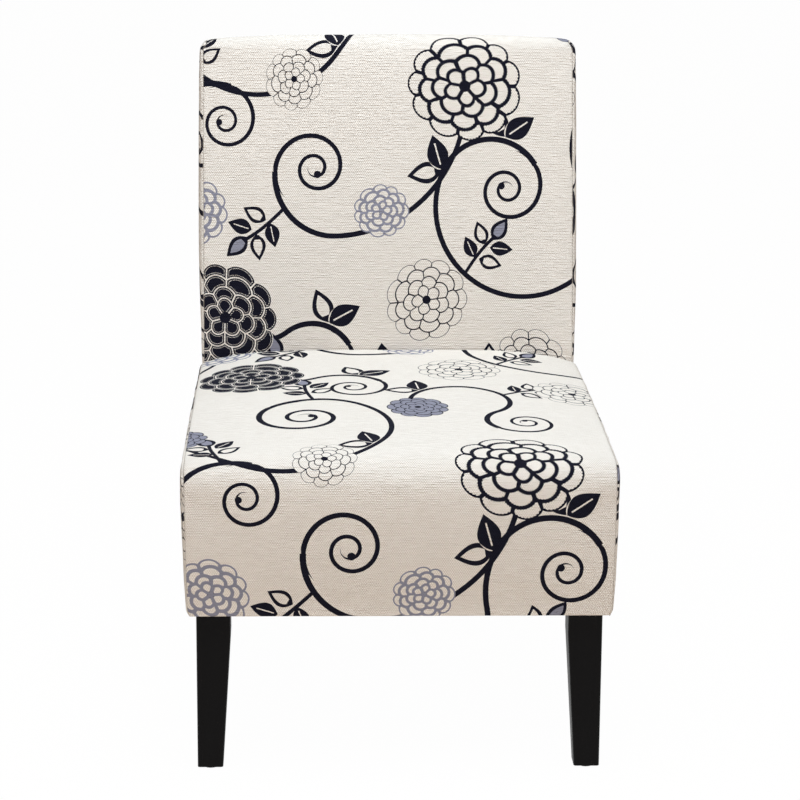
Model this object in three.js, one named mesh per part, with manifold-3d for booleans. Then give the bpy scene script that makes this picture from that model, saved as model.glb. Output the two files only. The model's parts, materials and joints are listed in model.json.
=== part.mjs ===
// Armless slipper chair: an upholstered seat box on tapered legs, with a leaning upholstered back bolted on.
// Millimetres, +Z up. The chair faces -Y and the sitter's left is +X.
// While it is built, Y is 0 at the front of the seat and Z is 0 on the floor.
import * as THREE from 'three';
import { mergeVertices } from 'three/addons/utils/BufferGeometryUtils.js';
import Module from 'manifold-3d';

const wasm = await Module();
wasm.setup();

// Driving dimensions: clearances and sheet goods
const gap = 0.3; // clearance between neighbouring pieces
const clothThickness = 1.5; // upholstery linen
const dustCoverThickness = 1;
const hemWidth = 18; // cloth turned under the frame and stapled
const cutOverrun = 2; // how far a cutting tool runs past the piece it cuts

// Driving dimensions: seat box
const seatDepth = 535; // front of the seat to the back's front face
const seatHalfWidth = 271; // half the distance between the side seams, at the hem
const seatFlare = 3; // how much wider each half is at the top
const seatRearTaper = 4; // how much narrower each half is at the back
const seatTopFrontHeight = 417; // floor to the top, just behind the front roll
const seatTopRearHeight = 437;
const seatFrontRoll = 42; // radius where the front turns into the top
const seatFrontSwell = 4; // how far padding pushes the front cloth out
const seatCornerCrown = 6; // drop of the side seams below the middle, at the front roll
const seatRearCrown = 20; // the same at the back of the seat
const seatSideBulge = 5.5; // how far the side panel stands out from its seam
const seatSideBulgeLow = 2; // the same at the hem
const seatRearBulge = 3; // the same where the seat meets the back
const seatSeamRoll = 26; // distance in which the side panel rolls out from its seam

// Driving dimensions: legs
const legHeight = 208; // wood only
const legTopSize = 44;
const legFootSize = 33;
const legInset = 13; // from the edge of the seat box to the leg
const legStraight = 30; // untapered length at the top
const legCornerRadius = 3;
const rearLegRake = 87; // how far back the rear foot stands from the leg's top
const rearLegCurveShare = 0.3; // how much of the rake comes late, as a curve
const rearLegInset = 16; // from the back's front face to the rear leg
const glideHeight = 3;
const glideRadius = 11;
const glideChamfer = 0.5;
const glideStemRadius = 1.6;
const glideStemLength = 14;
const studRadius = 4;
const studInLeg = 36;
const studInFrame = 38;

// Driving dimensions: timber
const railThickness = 22;
const railHeight = 75;
const tenonThickness = 10;
const tenonLength = 12;
const tenonShoulder = 12; // wood above and below a tenon
const cornerBlockReach = 78;
const cornerBlockTip = 14;
const cornerBlockHeight = 45;

// Driving dimensions: seat suspension
const springCount = 4;
const springToRail = 76; // from a side rail to the middle of the nearest spring
const springWireRadius = 1.9;
const springStraight = 30; // straight part of each crossbar
const springPitch = 25; // wished distance between crossbars
const springCrown = 11; // rise of the spring in the middle of its span
const clipSheet = 1.2;
const clipWidth = 20;
const clipLip = 3.5;
const clipTail = 13;
const padThickness = 5; // felt over the springs
const padMargin = 10; // felt past the outermost springs

// Driving dimensions: back
const backStep = 1; // how far each side seam of the back stands in from the seat's
const backLean = THREE.MathUtils.degToRad(12);
const backKneeHeight = 425; // where the back starts to lean
const backKneeBlend = 40; // half the height over which it turns
const backHeight = 878; // floor to the top edge
const backThickness = 80; // above the seat
const backFootThickness = 66; // at the hem
const backTopRoll = 24; // radius at the top front edge
const backRearRoll = 12; // radius at the top rear edge
const backTopCrown = 8; // drop of the side seams along the top
const backFaceCrown = 5; // the same down the front face
const backSideBulge = 6;
const backSideBulgeLow = 2.5;
const backSeamRoll = 20;
const backFoamDepth = 42; // front cloth to the webbing
const backFoamDepthLow = 15; // the same at the foam's lower end
const postTopDrop = 16; // posts end this far below the top seam
const topRailHeight = 40;
const lumbarRailHeight = 60;
const lumbarRailRise = 10; // above the knee
const webbingThickness = 2;
const webbingWidth = 50;
const webbingPitch = 75; // at least
const backBoltRadius = 4;
const backBoltHeadRadius = 8;
const backBoltHead = 5;
const backBoltDepth = 30; // length inside the back's bottom rail
const backBoltToBlock = 16; // from a corner block to the middle of a bolt
const backBoltHeights = [20, 48]; // above the frame's underside

// How finely round forms are cut, and where they blend
const mergeDistance = 1e-4;
const seatCoverTailShare = 0.6; // how far down behind the seat its cloth ends
const backBulgeShares = [0.25, 0.5]; // where up the back its sides grow from the low bulge to the full one
const edgePower = 5; // how late the crown falls towards the side seams
const roundSides = 16;
const arcSteps = 6; // on each arc of an outline
const wireSides = 5;
const bendSplits = 4; // on each half turn of a spring
const padSplits = 10; // along the felt pad
const footSplits = 8; // up the foot of the back's foam
const rearPanelRows = 10;
const rearPanelColumns = 6;
const legSplits = 4; // down the taper
const legCornerSplits = 2;
const rodChamferShare = 0.25; // of the radius of a stud or bolt
const clothSplits = 12; // across the seat and the back
const rollShares = [0, 0.12, 0.34, 0.66, 1]; // samples round a roll, closer together at the seam corner

// Levels and planes that follow from the above
const legTop = glideHeight + gap + legHeight;
const hemLevel = legTop + gap; // underside of the cloth
const frameLevel = hemLevel + clothThickness + gap; // underside of the timber
const railTop = frameLevel + railHeight;
const clothInset = clothThickness + gap; // outside of the cloth to the foam
const frameInset = clothInset + gap; // outside of the cloth to the timber
const foamFloor = railTop + gap; // underside of the foam
const backFront = seatDepth + gap;
const railOuter = seatHalfWidth - seatRearTaper - 2 * gap; // outer face of the side rails
const railInner = railOuter - railThickness;
const backHalfWidth = seatHalfWidth - seatRearTaper - backStep;
const railFront = frameInset;
const railRear = seatDepth - frameInset;
const legOuter = seatHalfWidth - legInset + seatSideBulgeLow;
const legCentreX = legOuter - legTopSize / 2;
const frontLegCentreY = legInset + legTopSize / 2;
const rearLegCentreY = backFront + rearLegInset + legTopSize / 2;

const woodColour = { color: 0xc9a878, roughness: 0.7, metalness: 0 };
const legColour = { color: 0x161516, roughness: 0.45, metalness: 0 };
const clothColour = { color: 0xe4dccf, roughness: 0.95, metalness: 0 };
const dustColour = { color: 0x18181a, roughness: 1, metalness: 0 };
const foamColour = { color: 0xf1e2b8, roughness: 1, metalness: 0 };
const feltColour = { color: 0x8c8a86, roughness: 1, metalness: 0 };
const steelColour = { color: 0xb4b6b8, roughness: 0.4, metalness: 0.9 };
const webbingColour = { color: 0x2a2a2c, roughness: 0.9, metalness: 0 };
const glideColour = { color: 0x202022, roughness: 0.5, metalness: 0 };

const chair = new THREE.Group();

function addPiece(name, geometry, look, parent = chair) {
  const mesh = new THREE.Mesh(geometry, new THREE.MeshStandardMaterial(look));
  mesh.name = name;
  parent.add(mesh);
  return mesh;
}

// A closed geometry as a solid that can be cut and joined, and back again.
function toSolid(geometry) {
  const bare = geometry.clone();
  bare.deleteAttribute('normal');
  bare.deleteAttribute('uv');
  const merged = mergeVertices(bare, mergeDistance);
  return new wasm.Manifold(
    new wasm.Mesh({
      numProp: 3,
      vertProperties: merged.attributes.position.array,
      triVerts: new Uint32Array(merged.index.array),
    }),
  );
}

function toGeometry(solid) {
  const mesh = solid.getMesh();
  const geometry = new THREE.BufferGeometry();
  geometry.setAttribute('position', new THREE.BufferAttribute(mesh.vertProperties, 3));
  geometry.setIndex(new THREE.BufferAttribute(mesh.triVerts, 1));
  geometry.computeVertexNormals();
  return geometry;
}

const cut = (geometry, tools) =>
  toGeometry(tools.reduce((solid, tool) => solid.subtract(toSolid(tool)), toSolid(geometry)));
const join = (geometry, others) =>
  toGeometry(others.reduce((solid, other) => solid.add(toSolid(other)), toSolid(geometry)));

// A box between two corners.
function boxBetween(low, high) {
  const size = high.map((value, axis) => value - low[axis]);
  const geometry = new THREE.BoxGeometry(...size);
  return geometry.translate(...low.map((value, axis) => value + size[axis] / 2));
}

// The same four-cornered face seen from behind, split along the same diagonal.
const flipQuad = ([a, b, c, d]) => [a, d, c, b];

// A geometry from vertices and four-cornered faces, turned so that its faces point outwards.
function closedGeometry(vertices, quads) {
  const corner = (index) => new THREE.Vector3(...vertices[index]);
  const faces = quads.flatMap(([a, b, c, d]) => [[a, b, c], [a, c, d]]);
  const sixVolumes = faces.reduce(
    (sum, [a, b, c]) => sum + corner(a).dot(corner(b).cross(corner(c))),
    0,
  );
  const outward = sixVolumes > 0 ? faces : faces.map(([a, b, c]) => [a, c, b]);
  const geometry = new THREE.BufferGeometry();
  geometry.setAttribute('position', new THREE.Float32BufferAttribute(vertices.flat(), 3));
  geometry.setIndex(outward.flat());
  geometry.computeVertexNormals();
  return geometry;
}

// A thick sheet between two grids of points with the same rows and columns.
function sheetBetween(outer, inner) {
  const rows = outer.length;
  const columns = outer[0].length;
  const vertices = [...outer.flat(), ...inner.flat()];
  const at = (side, row, column) => side * rows * columns + row * columns + column;
  const quads = [];
  for (let row = 0; row < rows - 1; row++)
    for (let column = 0; column < columns - 1; column++)
      for (const side of [0, 1]) {
        const face = [
          at(side, row, column),
          at(side, row + 1, column),
          at(side, row + 1, column + 1),
          at(side, row, column + 1),
        ];
        quads.push(side ? flipQuad(face) : face);
      }
  const rim = (row, column, nextRow, nextColumn) =>
    quads.push([
      at(0, row, column),
      at(0, nextRow, nextColumn),
      at(1, nextRow, nextColumn),
      at(1, row, column),
    ]);
  for (let row = 0; row < rows - 1; row++) {
    rim(row + 1, 0, row, 0);
    rim(row, columns - 1, row + 1, columns - 1);
  }
  for (let column = 0; column < columns - 1; column++) {
    rim(0, column, 0, column + 1);
    rim(rows - 1, column + 1, rows - 1, column);
  }
  return closedGeometry(vertices, quads);
}

// The surface of a block that bends: pointAt gives the place of each grid corner on its six faces.
function blockSurface(uCount, vCount, wCount, pointAt) {
  const numbers = new Map();
  const vertices = [];
  const number = (u, v, w) => {
    const key = `${u},${v},${w}`;
    if (!numbers.has(key)) {
      numbers.set(key, vertices.length);
      vertices.push(pointAt(u, v, w));
    }
    return numbers.get(key);
  };
  const quads = [];
  const face = (aCount, bCount, place, flipped) => {
    for (let a = 0; a < aCount; a++)
      for (let b = 0; b < bCount; b++) {
        const quad = [place(a, b), place(a + 1, b), place(a + 1, b + 1), place(a, b + 1)];
        quads.push(flipped ? flipQuad(quad) : quad);
      }
  };
  for (const far of [false, true]) {
    face(uCount, vCount, (u, v) => number(u, v, far ? wCount : 0), !far);
    face(vCount, wCount, (v, w) => number(far ? uCount : 0, v, w), !far);
    face(wCount, uCount, (w, u) => number(u, far ? vCount : 0, w), !far);
  }
  return closedGeometry(vertices, quads);
}

// Puts an outline drawn in (Y, Z) upright and extrudes it along X, centred on x.
function extrudeAcross(shape, width, x = 0) {
  const settings = { depth: width, bevelEnabled: false, curveSegments: arcSteps };
  const geometry = new THREE.ExtrudeGeometry(shape, settings);
  geometry.translate(0, 0, -width / 2);
  const upright = new THREE.Matrix4().makeBasis(
    new THREE.Vector3(0, 1, 0),
    new THREE.Vector3(0, 0, 1),
    new THREE.Vector3(1, 0, 0),
  );
  return geometry.applyMatrix4(upright).translate(x, 0, 0);
}

// A turned piece from its (radius, height) profile, standing on Z.
function turned(profile, sides = roundSides) {
  const points = profile.map(([radius, height]) => new THREE.Vector2(radius, height));
  return new THREE.LatheGeometry(points, sides).rotateX(Math.PI / 2);
}

const cylinder = (radius, low, high) =>
  turned([[0, low], [radius, low], [radius, high], [0, high]]);

const mix = (a, b, share) => a + (b - a) * share;
const mixPoint = (a, b, share) => a.map((value, axis) => mix(value, b[axis], share));
const ramp = (count) => Array.from({ length: count + 1 }, (_, step) => step / count);

// Samples from -1 to 1 that crowd towards the ends, where the crown falls away.
const acrossShares = ramp(clothSplits).map((share) => Math.sin((share - 0.5) * Math.PI));

// Quarter-round rise from a seam: 0 at the seam, 1 from the roll's reach on.
const rollOut = (distance, reach) => {
  const left = Math.max(0, 1 - distance / reach);
  return Math.sqrt(1 - left * left);
};

// A four-sided patch in (Y, Z) between four edge curves, as a blend of opposite edges.
function patch(edges, u, v) {
  const { front, rear, bottom, top } = edges;
  return [0, 1].map(
    (axis) =>
      mix(front(v)[axis], rear(v)[axis], u) +
      mix(bottom(u)[axis], top(u)[axis], v) -
      mix(
        mix(front(0)[axis], rear(0)[axis], u),
        mix(front(1)[axis], rear(1)[axis], u),
        v,
      ),
  );
}

// Padded forms. A form has edges in section, a rimX that says how far out its sides stand, and the shares us
// and vs at which it is sampled. Across it, 0 is the middle and 1 a side seam; the crown falls on the way.
function formPoint(form, inset, low, u, v, across) {
  const middle = patch(form.edges(inset, low, false), u, v);
  const rim = patch(form.edges(inset, low, true), u, v);
  const fall = Math.abs(across) ** edgePower;
  const [y, z] = mixPoint(middle, rim, fall);
  return [across * form.rimX(u, v, inset), y, z];
}

// The seat box in section, from the front hem round the roll to the back edge.
const seatRollArc = (seatFrontRoll * Math.PI) / 4;
const seatFaceHeight = seatTopFrontHeight - seatFrontRoll - hemLevel;
const seatTopLength = seatDepth - seatFrontRoll;
const seatFaceShare = seatFaceHeight / (seatFaceHeight + seatRollArc);
const seatRollShare = seatRollArc / (seatTopLength + seatRollArc);

const seatForm = {
  edges(inset, low, crowned) {
    const rollCentre = [seatFrontRoll, seatTopFrontHeight - seatFrontRoll];
    const dropped = ([y, z], [normalY, normalZ], drop) =>
      crowned ? [y - normalY * drop, z - normalZ * drop] : [y, z];
    const roll = (angle, drop) => {
      const normal = [Math.cos(angle), Math.sin(angle)];
      const place = normal.map((value, axis) => rollCentre[axis] + value * (seatFrontRoll - inset));
      return dropped(place, normal, drop);
    };
    const front = (v) => {
      const height = mix(hemLevel, seatTopFrontHeight - seatFrontRoll, v / seatFaceShare);
      const drop = seatCornerCrown * v;
      if (v >= seatFaceShare)
        return roll(Math.PI - ((v - seatFaceShare) / (1 - seatFaceShare)) * (Math.PI / 4), drop);
      const raised = low + ((height - hemLevel) / seatFaceHeight) * (rollCentre[1] - low);
      const swell = seatFrontSwell * Math.sin(((raised - hemLevel) / seatFaceHeight) * Math.PI);
      return dropped([inset - swell, raised], [-1, 0], drop);
    };
    const top = (u) => {
      const drop = mix(seatCornerCrown, seatRearCrown, u);
      if (u <= seatRollShare) return roll(Math.PI * (0.75 - (u / seatRollShare) * 0.25), drop);
      const along = (u - seatRollShare) / (1 - seatRollShare);
      const rise = (seatTopRearHeight - seatTopFrontHeight) * Math.sin((along * Math.PI) / 2);
      const y = mix(seatFrontRoll, seatDepth - inset, along);
      return dropped([y, seatTopFrontHeight + rise - inset], [0, 1], drop);
    };
    const rear = (v) => [seatDepth - inset, mix(low, top(1)[1], v)];
    const bottom = (u) => [mix(front(0)[0], seatDepth - inset, u), low];
    return { front, top, rear, bottom };
  },
  rimX(u, v, inset) {
    const seam = seatHalfWidth + seatFlare * v - seatRearTaper * u;
    const fullBulge = mix(seatSideBulge, seatRearBulge, u * u);
    const raised = Math.sin((Math.min(1, v / seatFaceShare) * Math.PI) / 2);
    const bulge = mix(seatSideBulgeLow, fullBulge, raised);
    const round =
      rollOut(u * (seatTopLength + seatRollArc), seatSeamRoll) *
      rollOut((1 - v) * (seatFaceHeight + seatRollArc), seatSeamRoll);
    return seam + Math.max(0, bulge - inset) * round;
  },
  us: [
    ...rollShares.map((share) => share * seatRollShare),
    ...ramp(10).slice(1).map((share) => mix(seatRollShare, 1, share)),
  ],
  vs: [
    ...ramp(4).slice(0, -1).map((share) => share * seatFaceShare),
    ...rollShares.toReversed().map((share) => 1 - share * (1 - seatFaceShare)),
  ],
};

// The back in section, from its front hem up the leaning face, over the top and down behind.
const leanAlong = [Math.sin(backLean), Math.cos(backLean)];
const leanInward = [Math.cos(backLean), -Math.sin(backLean)];
const backLength =
  (backHeight - backTopRoll - backKneeHeight + backTopRoll * Math.sin(backLean)) /
    Math.cos(backLean) +
  backTopRoll; // along the lean, from the knee to the top face
// A place from its distance up the leaning face and its depth behind it.
const leaningPlace = (along, depth) => [
  backFront + along * leanAlong[0] + depth * leanInward[0],
  backKneeHeight + along * leanAlong[1] + depth * leanInward[1],
];
// The back's front or rear line in section: Y at a height. It turns softly at the knee, and inset
// moves it back.
function bentLine(z, { atKnee, slopeBelow, slopeAbove }, inset) {
  const turned = THREE.MathUtils.clamp((z - backKneeHeight) / (2 * backKneeBlend) + 0.5, 0, 1);
  const beyond = Math.max(0, z - backKneeHeight - backKneeBlend);
  const extraSlope = slopeAbove - slopeBelow;
  const across = inset * Math.hypot(1, slopeBelow + extraSlope * turned);
  const leaned = extraSlope * (turned * turned * backKneeBlend + beyond);
  return atKnee + slopeBelow * (z - backKneeHeight) + leaned + across;
}
const leanSlope = Math.tan(backLean);
const frontLine = (z, inset) =>
  bentLine(z, { atKnee: backFront, slopeBelow: 0, slopeAbove: leanSlope }, inset);
const rearKnee = backFront + backThickness / Math.cos(backLean);
const rearSlopeLow = (rearKnee - backFront - backFootThickness) / (backKneeHeight - hemLevel);
const rearLine = (z, inset) =>
  bentLine(z, { atKnee: rearKnee, slopeBelow: rearSlopeLow, slopeAbove: leanSlope }, -inset);

const backRollArc = (backTopRoll * Math.PI) / 4;
const backRearArc = (backRearRoll * Math.PI) / 2;
const backTopFlat = backThickness - backTopRoll - backRearRoll;
const backFrontEnd = leaningPlace(backLength - backTopRoll, 0)[1];
const backRearEnd = leaningPlace(backLength - backRearRoll, backThickness)[1];
const backFaceLength = backFrontEnd - hemLevel;
const backFaceShare = backFaceLength / (backFaceLength + backRollArc);
const backTopSpan = backRollArc + backTopFlat + backRearArc;
const backTopShares = [backRollArc / backTopSpan, (backRollArc + backTopFlat) / backTopSpan];

const backForm = {
  edges(inset, low, crowned) {
    const roll = (along, depth, radius, turn, drop) => {
      const normal = [0, 1].map(
        (axis) => Math.cos(turn) * leanAlong[axis] - Math.sin(turn) * leanInward[axis],
      );
      const centre = leaningPlace(along, depth);
      const reach = radius - inset - (crowned ? drop : 0);
      return centre.map((value, axis) => value + normal[axis] * reach);
    };
    const front = (v) => {
      const drop = backTopCrown * v;
      if (v >= backFaceShare) {
        const turn = mix(Math.PI / 2, Math.PI / 4, (v - backFaceShare) / (1 - backFaceShare));
        return roll(backLength - backTopRoll, backTopRoll, backTopRoll, turn, drop);
      }
      const z = mix(low, backFrontEnd, v / backFaceShare);
      const raised = THREE.MathUtils.clamp((z - backKneeHeight) / (backFrontEnd - backKneeHeight), 0, 1);
      const set = crowned ? backFaceCrown * Math.sin(raised * Math.PI * 0.5) : 0;
      const blend = mix(set, drop, raised ** 4);
      return [frontLine(z, inset) + (crowned ? blend : 0), z];
    };
    const top = (u) => {
      const [first, second] = backTopShares;
      if (u <= first) {
        const turn = (Math.PI / 4) * (1 - u / first);
        return roll(backLength - backTopRoll, backTopRoll, backTopRoll, turn, backTopCrown);
      }
      if (u <= second) {
        const depth = mix(backTopRoll, backThickness - backRearRoll, (u - first) / (second - first));
        return leaningPlace(backLength - inset - (crowned ? backTopCrown : 0), depth);
      }
      const share = (u - second) / (1 - second);
      const drop = mix(backTopCrown, 0, share);
      return roll(
        backLength - backRearRoll,
        backThickness - backRearRoll,
        backRearRoll,
        (-Math.PI / 2) * share,
        Math.min(drop, backRearRoll - inset - gap),
      );
    };
    const rear = (v) => {
      const z = mix(low, top(1)[1], v);
      return v === 1 ? top(1) : [rearLine(z, inset), z];
    };
    const bottom = (u) => [mix(front(0)[0], rear(0)[0], u), low];
    return { front, top, rear, bottom };
  },
  rimX(u, v, inset) {
    const bulge = mix(backSideBulgeLow, backSideBulge, THREE.MathUtils.smoothstep(v, ...backBulgeShares));
    const across = u * backThickness;
    const round =
      rollOut(across, backSeamRoll) *
      rollOut(backThickness - across, backSeamRoll) *
      rollOut((1 - v) * (backFaceLength + backRollArc), backSeamRoll);
    return backHalfWidth + Math.max(0, bulge - inset) * round;
  },
  us: [
    ...rollShares.map((share) => share * backTopShares[0]),
    ...ramp(2).slice(1).map((share) => mix(backTopShares[0], backTopShares[1], share)),
    ...ramp(3).slice(1).map((share) => mix(backTopShares[1], 1, share)),
  ],
  vs: [
    ...ramp(12).slice(0, -1).map((share) => share * backFaceShare),
    ...rollShares.toReversed().map((share) => 1 - share * (1 - backFaceShare)),
  ],
};

// Cloth that runs round a form along a list of (u, v) places, from seam to seam.
function clothStrip(form, route) {
  const layer = (inset) =>
    route.map(([u, v, shift]) =>
      acrossShares.map((across) => {
        const [x, y, z] = formPoint(form, inset, hemLevel + inset, u, v, across);
        const halfWidth = form.rimX(u, v, inset);
        const narrowed = halfWidth - gap - (shift?.narrow ?? 0);
        return [(x / halfWidth) * narrowed, y + (shift?.y ?? 0), z];
      }),
    );
  return sheetBetween(layer(0), layer(clothThickness));
}

// The cloth on one side of a form, with a hem turned in below it. side is 1 or -1.
function clothSide(form, side, hem) {
  const layer = (inset) => {
    const rows = form.vs.map((v) =>
      form.us.map((u) => {
        const [x, y, z] = formPoint(form, inset, hemLevel + inset, u, v, 1);
        return [side * x, y, z];
      }),
    );
    const foot = rows[0];
    const first = foot[0][1];
    const last = foot.at(-1)[1];
    const hemRow = foot.map(([x, y, z]) => [
      side * (form.rimX(0, 0, 0) - hem.width),
      mix(first + hem.frontMitre, last - hem.rearMitre, (y - first) / (last - first)),
      z,
    ]);
    return [hemRow, ...rows];
  };
  return sheetBetween(layer(0), layer(clothThickness));
}

// Foam that fills a form's cloth above the rails, less what the tools cut away.
function paddedBlock(form, tools) {
  const { us, vs } = form;
  const block = blockSurface(us.length - 1, vs.length - 1, clothSplits, (i, j, k) =>
    formPoint(form, clothInset, hemLevel + clothInset, us[i], vs[j], acrossShares[k]),
  );
  const reach = 2 * seatDepth;
  const below = boxBetween([-reach, -reach, 0], [reach, reach, foamFloor]);
  return cut(block, [below, ...tools]);
}

// Seat frame: front and rear rails run right across, and the side rails are tenoned between them.
const tenonLow = frameLevel + tenonShoulder;
const tenonHigh = railTop - tenonShoulder;
const sideRailMiddle = (railOuter + railInner) / 2;

function mortisesFor(y, grow) {
  return [-1, 1].map((side) =>
    boxBetween(
      [side * sideRailMiddle - tenonThickness / 2 - grow, y - tenonLength - grow, tenonLow - grow],
      [side * sideRailMiddle + tenonThickness / 2 + grow, y + tenonLength + grow, tenonHigh + grow],
    ),
  );
}

const backBoltX = railInner - gap - cornerBlockReach - backBoltToBlock;
const backBoltPlaces = [-1, 1].flatMap((side) =>
  backBoltHeights.map((height) => [side * backBoltX, frameLevel + height]),
);
const backBoltHoles = (radius, low, high) =>
  backBoltPlaces.map(([x, z]) => cylinder(radius, low, high).rotateX(-Math.PI / 2).translate(x, 0, z));

function buildSeatFrame() {
  const frontInner = railFront + railThickness;
  const rearInner = railRear - railThickness;
  const frontRail = boxBetween([-railOuter, railFront, frameLevel], [railOuter, frontInner, railTop]);
  const rearRail = boxBetween([-railOuter, rearInner, frameLevel], [railOuter, railRear, railTop]);
  addPiece('seat_front_rail', cut(frontRail, mortisesFor(frontInner, gap)), woodColour);
  const boltHoles = backBoltHoles(backBoltRadius + gap, rearInner - cutOverrun, railRear + cutOverrun);
  addPiece('seat_rear_rail', cut(rearRail, [...mortisesFor(rearInner, gap), ...boltHoles]), woodColour);
  for (const [name, side] of [['left', 1], ['right', -1]]) {
    const faces = [side * railInner, side * railOuter].sort((a, b) => a - b);
    const rail = boxBetween(
      [faces[0], frontInner + gap, frameLevel],
      [faces[1], rearInner - gap, railTop],
    );
    const tenon = boxBetween(
      [side * sideRailMiddle - tenonThickness / 2, frontInner - tenonLength + gap, tenonLow],
      [side * sideRailMiddle + tenonThickness / 2, rearInner + tenonLength - gap, tenonHigh],
    );
    addPiece(`seat_side_rail_${name}`, join(rail, [tenon]), woodColour);
  }
  buildCornerBlocks(frontInner, rearInner);
}

// Triangular blocks glued into the corners. The front pair hold the front legs' studs.
function buildCornerBlocks(frontInner, rearInner) {
  const outline = new THREE.Shape([
    new THREE.Vector2(0, 0),
    new THREE.Vector2(cornerBlockReach, 0),
    new THREE.Vector2(cornerBlockReach, cornerBlockTip),
    new THREE.Vector2(cornerBlockTip, cornerBlockReach),
    new THREE.Vector2(0, cornerBlockReach),
  ]);
  const block = new THREE.ExtrudeGeometry(outline, { depth: cornerBlockHeight, bevelEnabled: false });
  for (const [end, y, turn] of [['front', frontInner + gap, 1], ['rear', rearInner - gap, -1]])
    for (const [name, side] of [['left', 1], ['right', -1]]) {
      const quarter = { '1,1': 1, '-1,1': 0, '-1,-1': -1, '1,-1': 2 }[`${side},${turn}`];
      const placed = block
        .clone()
        .rotateZ((quarter * Math.PI) / 2)
        .translate(side * (railInner - gap), y, frameLevel);
      const hole = cylinder(
        studRadius + gap,
        frameLevel - cutOverrun,
        frameLevel + cornerBlockHeight + cutOverrun,
      ).translate(side * legCentreX, frontLegCentreY, 0);
      const made = end === 'front' ? cut(placed, [hole]) : placed;
      addPiece(`corner_block_${end}_${name}`, made, woodColour);
    }
}

// Sinuous springs: one wire bent back and forth, held at both ends by clips on the rails.
const clipCentreUp = springWireRadius + gap + clipSheet; // wire's centre above the clip's underside
const clipBack = clipCentreUp; // clip's outer radius
const springFront = railFront + railThickness - clipBack - clipLip;
const springRear = railRear - railThickness + clipBack + clipLip;
const springLevel = railTop + gap + clipCentreUp;
const springBars = Math.max(2, 2 * Math.round((springRear - springFront) / springPitch / 2));

const springRise = (y) => {
  const share = (y - springFront) / (springRear - springFront);
  return springCrown * 4 * share * (1 - share);
};

function springRoute(x) {
  const pitch = (springRear - springFront) / springBars;
  const points = [];
  const put = (dx, y) => points.push(new THREE.Vector3(x + dx, y, springLevel + springRise(y)));
  put(-springStraight / 2, springFront);
  for (let bar = 0; bar < springBars; bar++) {
    const side = bar % 2 ? -1 : 1;
    const y = springFront + bar * pitch;
    for (const share of ramp(bendSplits)) {
      const angle = (share - 0.5) * Math.PI;
      const reach = springStraight / 2 + (pitch / 2) * Math.cos(angle);
      put(side * reach, y + pitch / 2 + (pitch / 2) * Math.sin(angle));
    }
  }
  put((springBars % 2 ? 1 : -1) * springStraight / 2, springRear);
  return points;
}

// A wire of round section along a list of points, with flat ends.
function wireAlong(points, radius, sides) {
  const vertices = [];
  const up = new THREE.Vector3(0, 0, 1);
  points.forEach((point, index) => {
    const before = points[Math.max(0, index - 1)];
    const after = points[Math.min(points.length - 1, index + 1)];
    const along = after.clone().sub(before).normalize();
    const sideways = along.clone().cross(up).normalize();
    const upwards = sideways.clone().cross(along);
    for (let side = 0; side < sides; side++) {
      const angle = (side / sides) * 2 * Math.PI;
      const place = point
        .clone()
        .addScaledVector(sideways, Math.cos(angle) * radius)
        .addScaledVector(upwards, Math.sin(angle) * radius);
      vertices.push(place.toArray());
    }
  });
  const quads = [];
  for (let ring = 0; ring < points.length - 1; ring++)
    for (let side = 0; side < sides; side++) {
      const next = (side + 1) % sides;
      const [a, b] = [ring * sides, (ring + 1) * sides];
      quads.push([a + side, b + side, b + next, a + next]);
    }
  for (const [first, flipped] of [[0, false], [(points.length - 1) * sides, true]]) {
    const middle = vertices.length;
    const end = vertices.slice(first, first + sides);
    vertices.push([0, 1, 2].map((axis) => end.reduce((sum, place) => sum + place[axis] / sides, 0)));
    for (let side = 0; side < sides; side++) {
      const next = (side + 1) % sides;
      const pair = flipped ? [first + next, first + side] : [first + side, first + next];
      quads.push([middle, ...pair, pair[1]]);
    }
  }
  return wireGeometry(vertices, quads);
}

// Drops the empty second half of the end faces before closing the wire.
function wireGeometry(vertices, quads) {
  const geometry = closedGeometry(vertices, quads);
  const index = geometry.getIndex().array;
  const kept = [];
  for (let face = 0; face < index.length; face += 3) {
    const [a, b, c] = index.slice(face, face + 3);
    if (a !== b && b !== c && a !== c) kept.push(a, b, c);
  }
  geometry.setIndex(kept);
  return geometry;
}

function clipShape() {
  const inner = springWireRadius + gap;
  const shape = new THREE.Shape();
  const meet = Math.asin((clipBack - clipSheet) / clipBack);
  shape.moveTo(-clipTail, -clipBack);
  shape.lineTo(clipLip, -clipBack);
  shape.lineTo(clipLip, -inner);
  shape.lineTo(0, -inner);
  shape.absarc(0, 0, inner, -Math.PI / 2, Math.PI / 2, true);
  shape.lineTo(clipLip, inner);
  shape.lineTo(clipLip, clipBack);
  shape.lineTo(0, clipBack);
  shape.absarc(0, 0, clipBack, Math.PI / 2, Math.PI + meet, false);
  shape.lineTo(-clipTail, clipSheet - clipBack);
  return shape;
}

function buildSuspension() {
  const clip = extrudeAcross(clipShape(), clipWidth);
  for (let index = 0; index < springCount; index++) {
    const x = mix(-1, 1, index / (springCount - 1)) * (railInner - springToRail);
    const number = index + 1;
    addPiece(`seat_spring_${number}`, wireAlong(springRoute(x), springWireRadius, wireSides), steelColour);
    const frontClip = addPiece(`spring_clip_front_${number}`, clip, steelColour);
    frontClip.position.set(x, springFront, springLevel);
    const rearClip = addPiece(`spring_clip_rear_${number}`, clip, steelColour);
    rearClip.position.set(x, springRear, springLevel);
    rearClip.rotation.z = Math.PI;
  }
}

// Felt over the springs, following their rise, and stopping short of the clips.
const padHalfWidth = railInner - springToRail + (springStraight + springPitch) / 2 + padMargin;
const padFront = springFront + clipLip + padMargin;
const padRear = springRear - clipLip - padMargin;
const padBottom = (y) => springLevel + springRise(y) + springWireRadius + gap;

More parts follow.
